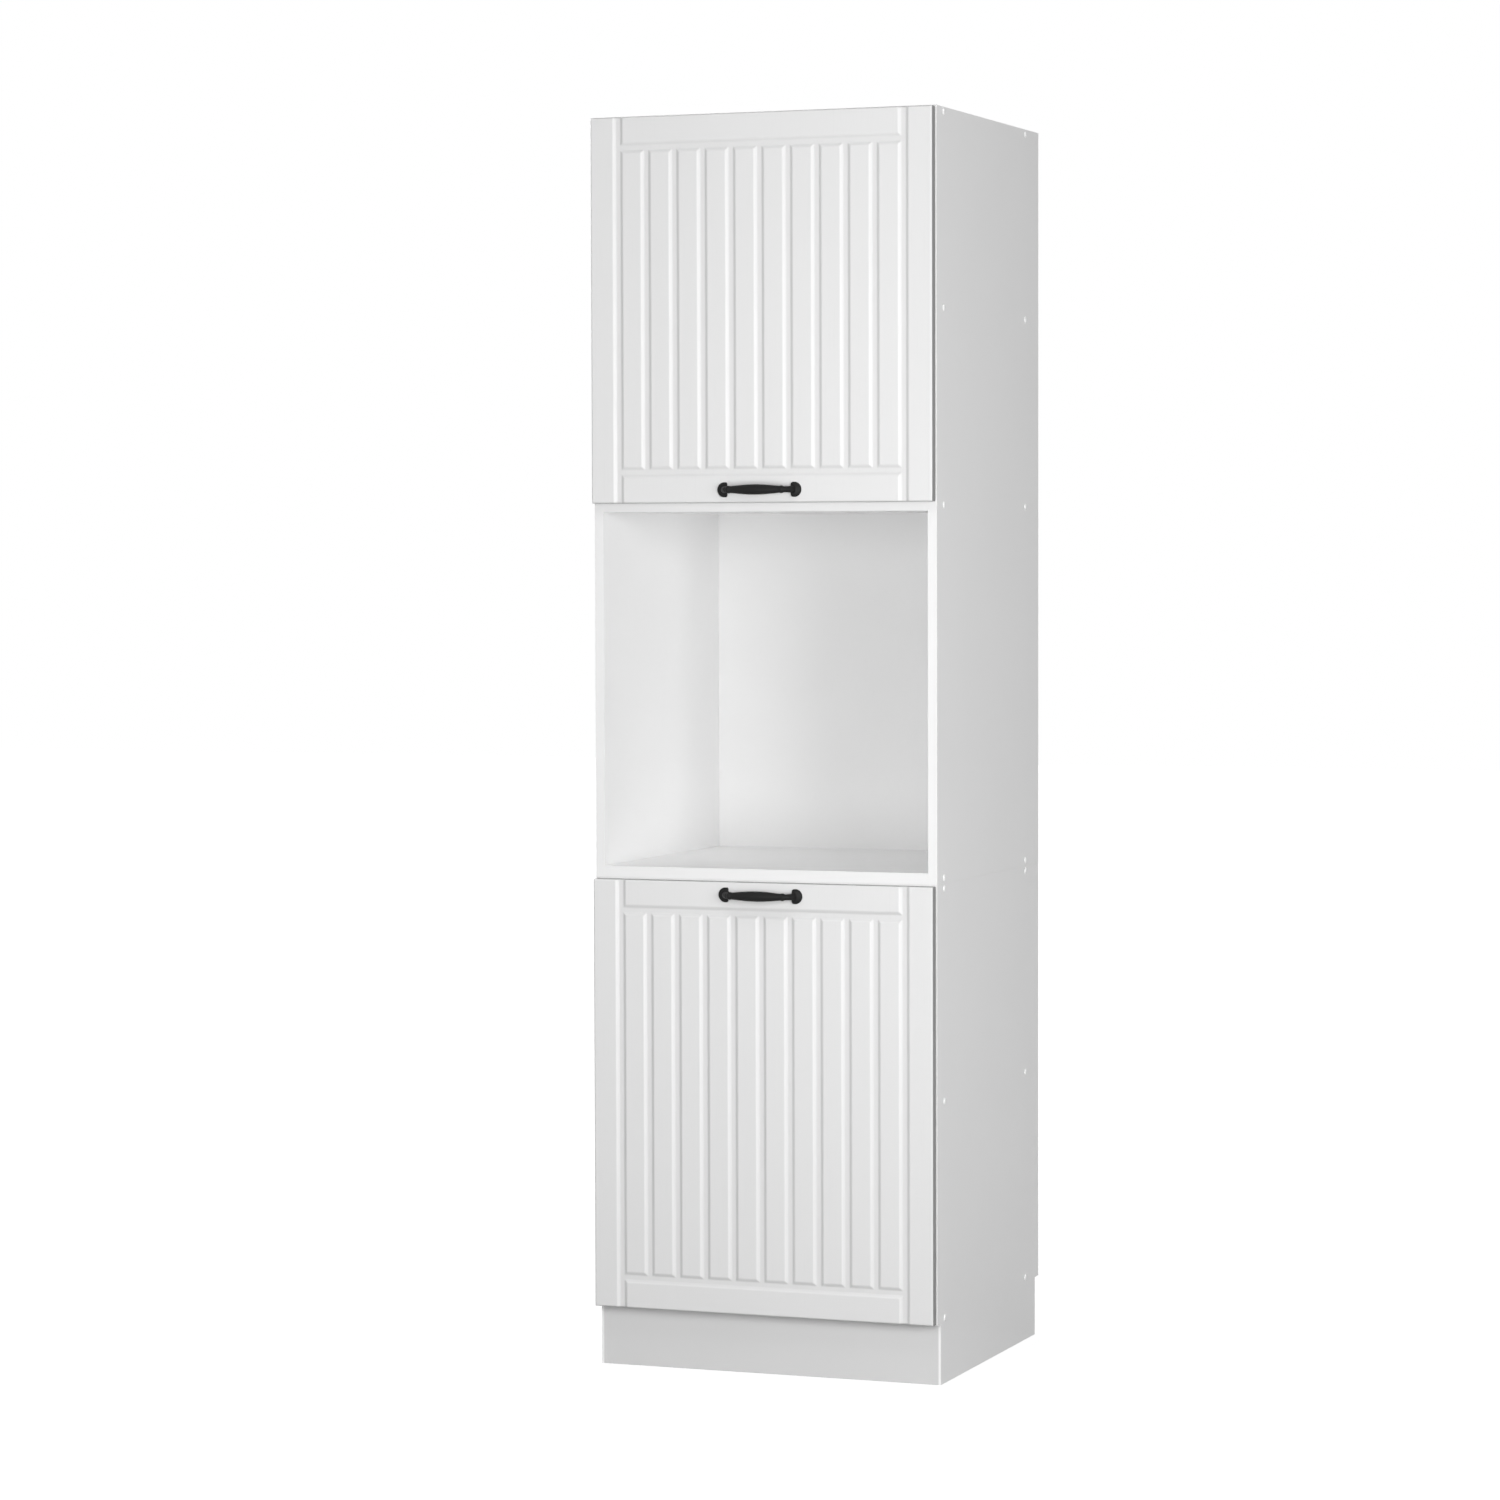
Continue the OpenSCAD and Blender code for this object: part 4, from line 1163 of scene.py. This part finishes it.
class HOUSING_OT_hinges(Operator):
    """Finish the pressed hinge parts and model their pins"""

    bl_idname = "housing.hinges"
    bl_label = "Hinges"

    def execute(self, context):
        sizes = context.scene.housing_fittings
        colours = context.scene.housing_colours
        nickel = plated_steel("hinge_nickel", colours.nickel, 0.24)
        dark = plated_steel("pin_dark", colours.dark_steel, 0.30)
        for level in LEVELS:
            for part in ("hinge_plate_", "hinge_arm_", "hinge_link_", "hinge_cup_"):
                soften(part + level, nickel, sizes.plate_round)
        for level in DOORS:
            for node in ("hinge_arm_pins_" + level, "hinge_cup_pins_" + level):
                self.pins(node, dark)
        return {"FINISHED"}

    def pins(self, node, material):
        low, high = solids_of(node)[0]
        radius, height = (high.x - low.x) / 2, high.z - low.z
        bevel = radius * 0.3
        pin = lathe("pin", [
            (0, 0), (radius * 0.7, 0), (radius, bevel), (radius, height - bevel),
            (radius * 0.7, height), (0, height),
        ], 24)
        copies(pin, node, "+Z", material, end_of("Z", False))


# Studio

SENSOR_WIDTH = 36
# Height that the lamps point at
LAMP_AIM = 1.2
FLOOR_SIZE = 40
FLOOR_WHITE = (0.8,) * 3
FLOOR_GLOW = 1.12
# Distances from the housing between which the floor fades to the plain white of the surroundings
FADE_START = 0.6
FADE_END = 2.6


class HOUSING_OT_studio(Operator):
    """Set up the camera, the lamps, the white surroundings and the floor"""

    bl_idname = "housing.studio"
    bl_label = "Studio"

    def execute(self, context):
        studio = context.scene.housing_studio
        context.scene.view_settings.view_transform = "Standard"
        self.camera(context, studio)
        self.lamps(studio)
        self.surroundings(context, studio)
        self.floor(studio)
        return {"FINISHED"}

    def camera(self, context, studio):
        deselect_all()
        turn = Matrix.Rotation(math.radians(studio.camera_yaw), 3, "Z")
        tilt = Matrix.Rotation(math.radians(90 + studio.camera_pitch), 3, "X")
        roll = Matrix.Rotation(math.radians(studio.camera_roll), 3, "Z")
        bpy.ops.object.camera_add(
            location=(studio.camera_x, CARCASS_FRONT - studio.camera_ahead, studio.camera_z),
            rotation=(turn @ tilt @ roll).to_euler(),
        )
        camera = context.object
        camera.name = "photo_camera"
        camera.data.sensor_width = SENSOR_WIDTH
        camera.data.lens = studio.lens
        context.scene.camera = camera

    def lamps(self, studio):
        for name, *_ in LAMPS:
            power, distance, side, height, size = [
                getattr(studio, f"{name}_{word}") for word in ("power", "distance", "side", "height", "size")
            ]
            deselect_all()
            aim = Vector((0, CARCASS_FRONT, LAMP_AIM))
            angle = math.radians(side)
            spot = Vector((distance * math.sin(angle), CARCASS_FRONT - distance * math.cos(angle), height))
            turn = (aim - spot).to_track_quat("-Z", "Y").to_euler()
            bpy.ops.object.light_add(type="AREA", location=spot, rotation=turn)
            lamp = bpy.context.object
            lamp.name = name + "_lamp"
            lamp.data.shape = "SQUARE"
            lamp.data.size = size
            lamp.data.energy = power

    def surroundings(self, context, studio):
        world = bpy.data.worlds.new("white_room")
        context.scene.world = world
        world.use_nodes = True
        room = Nodes(world.node_tree)
        sky = room.tree.nodes["Background"]
        sky.inputs["Color"].default_value = (1, 1, 1, 1)
        room.connect(sky.inputs["Strength"], room.white_for_view(True) * (1 - studio.sky) + studio.sky)

    def floor(self, studio):
        deselect_all()
        bpy.ops.mesh.primitive_plane_add(size=FLOOR_SIZE)
        floor = bpy.context.object
        floor.name = "studio_floor"
        finish = Finish("floor_white", Roughness=0.9, Specular_IOR_Level=0.0)
        returned = finish.white_for_view(False) * (1 - studio.bounce) + studio.bounce
        finish.paint(Base_Color=finish.shaded(FLOOR_WHITE, returned))
        away = finish.node("ShaderNodeVectorMath", "Value", {"operation": "LENGTH"}, Vector=finish.place)
        share = finish.rise(away, FADE_START, FADE_END, studio.backdrop, 1.0)
        matt = Value(finish, finish.shader.outputs["BSDF"])
        glow = finish.node("ShaderNodeEmission", "Emission", Strength=FLOOR_GLOW)
        mix = finish.node(
            "ShaderNodeMixShader", "Shader", None, finish.white_for_view(True) * share, matt, glow,
        )
        finish.connect(finish.tree.nodes["Material Output"].inputs["Surface"], mix)
        floor.data.materials.append(finish.material)


STEPS = (
    HOUSING_OT_studio, HOUSING_OT_boards, HOUSING_OT_blocks, HOUSING_OT_doors,
    HOUSING_OT_handles, HOUSING_OT_hinges, HOUSING_OT_screws, HOUSING_OT_caps,
)


class HOUSING_PT_sidebar(Panel):
    """The housing's pieces and settings"""

    bl_label = "Oven Housing"
    bl_idname = "HOUSING_PT_sidebar"
    bl_space_type = "VIEW_3D"
    bl_region_type = "UI"
    bl_category = "Housing"

    def draw(self, context):
        for step in STEPS:
            self.layout.operator(step.bl_idname)
        for key, group in SETTINGS.items():
            box = self.layout.box()
            for setting in group.__annotations__:
                box.prop(getattr(context.scene, key), setting)


CLASSES = (*SETTINGS.values(), *STEPS, HOUSING_PT_sidebar)


def register():
    for item in CLASSES:
        bpy.utils.register_class(item)
    for key, group in SETTINGS.items():
        setattr(bpy.types.Scene, key, PointerProperty(type=group))


def unregister():
    for key in SETTINGS:
        delattr(bpy.types.Scene, key)
    for item in reversed(CLASSES):
        bpy.utils.unregister_class(item)


def main():
    register()
    bpy.ops.housing.studio()
    bpy.ops.housing.boards()
    bpy.ops.housing.blocks()
    bpy.ops.housing.doors()
    bpy.ops.housing.handles()
    bpy.ops.housing.hinges()
    bpy.ops.housing.screws()
    bpy.ops.housing.caps()


if __name__ == "__main__":
    main()
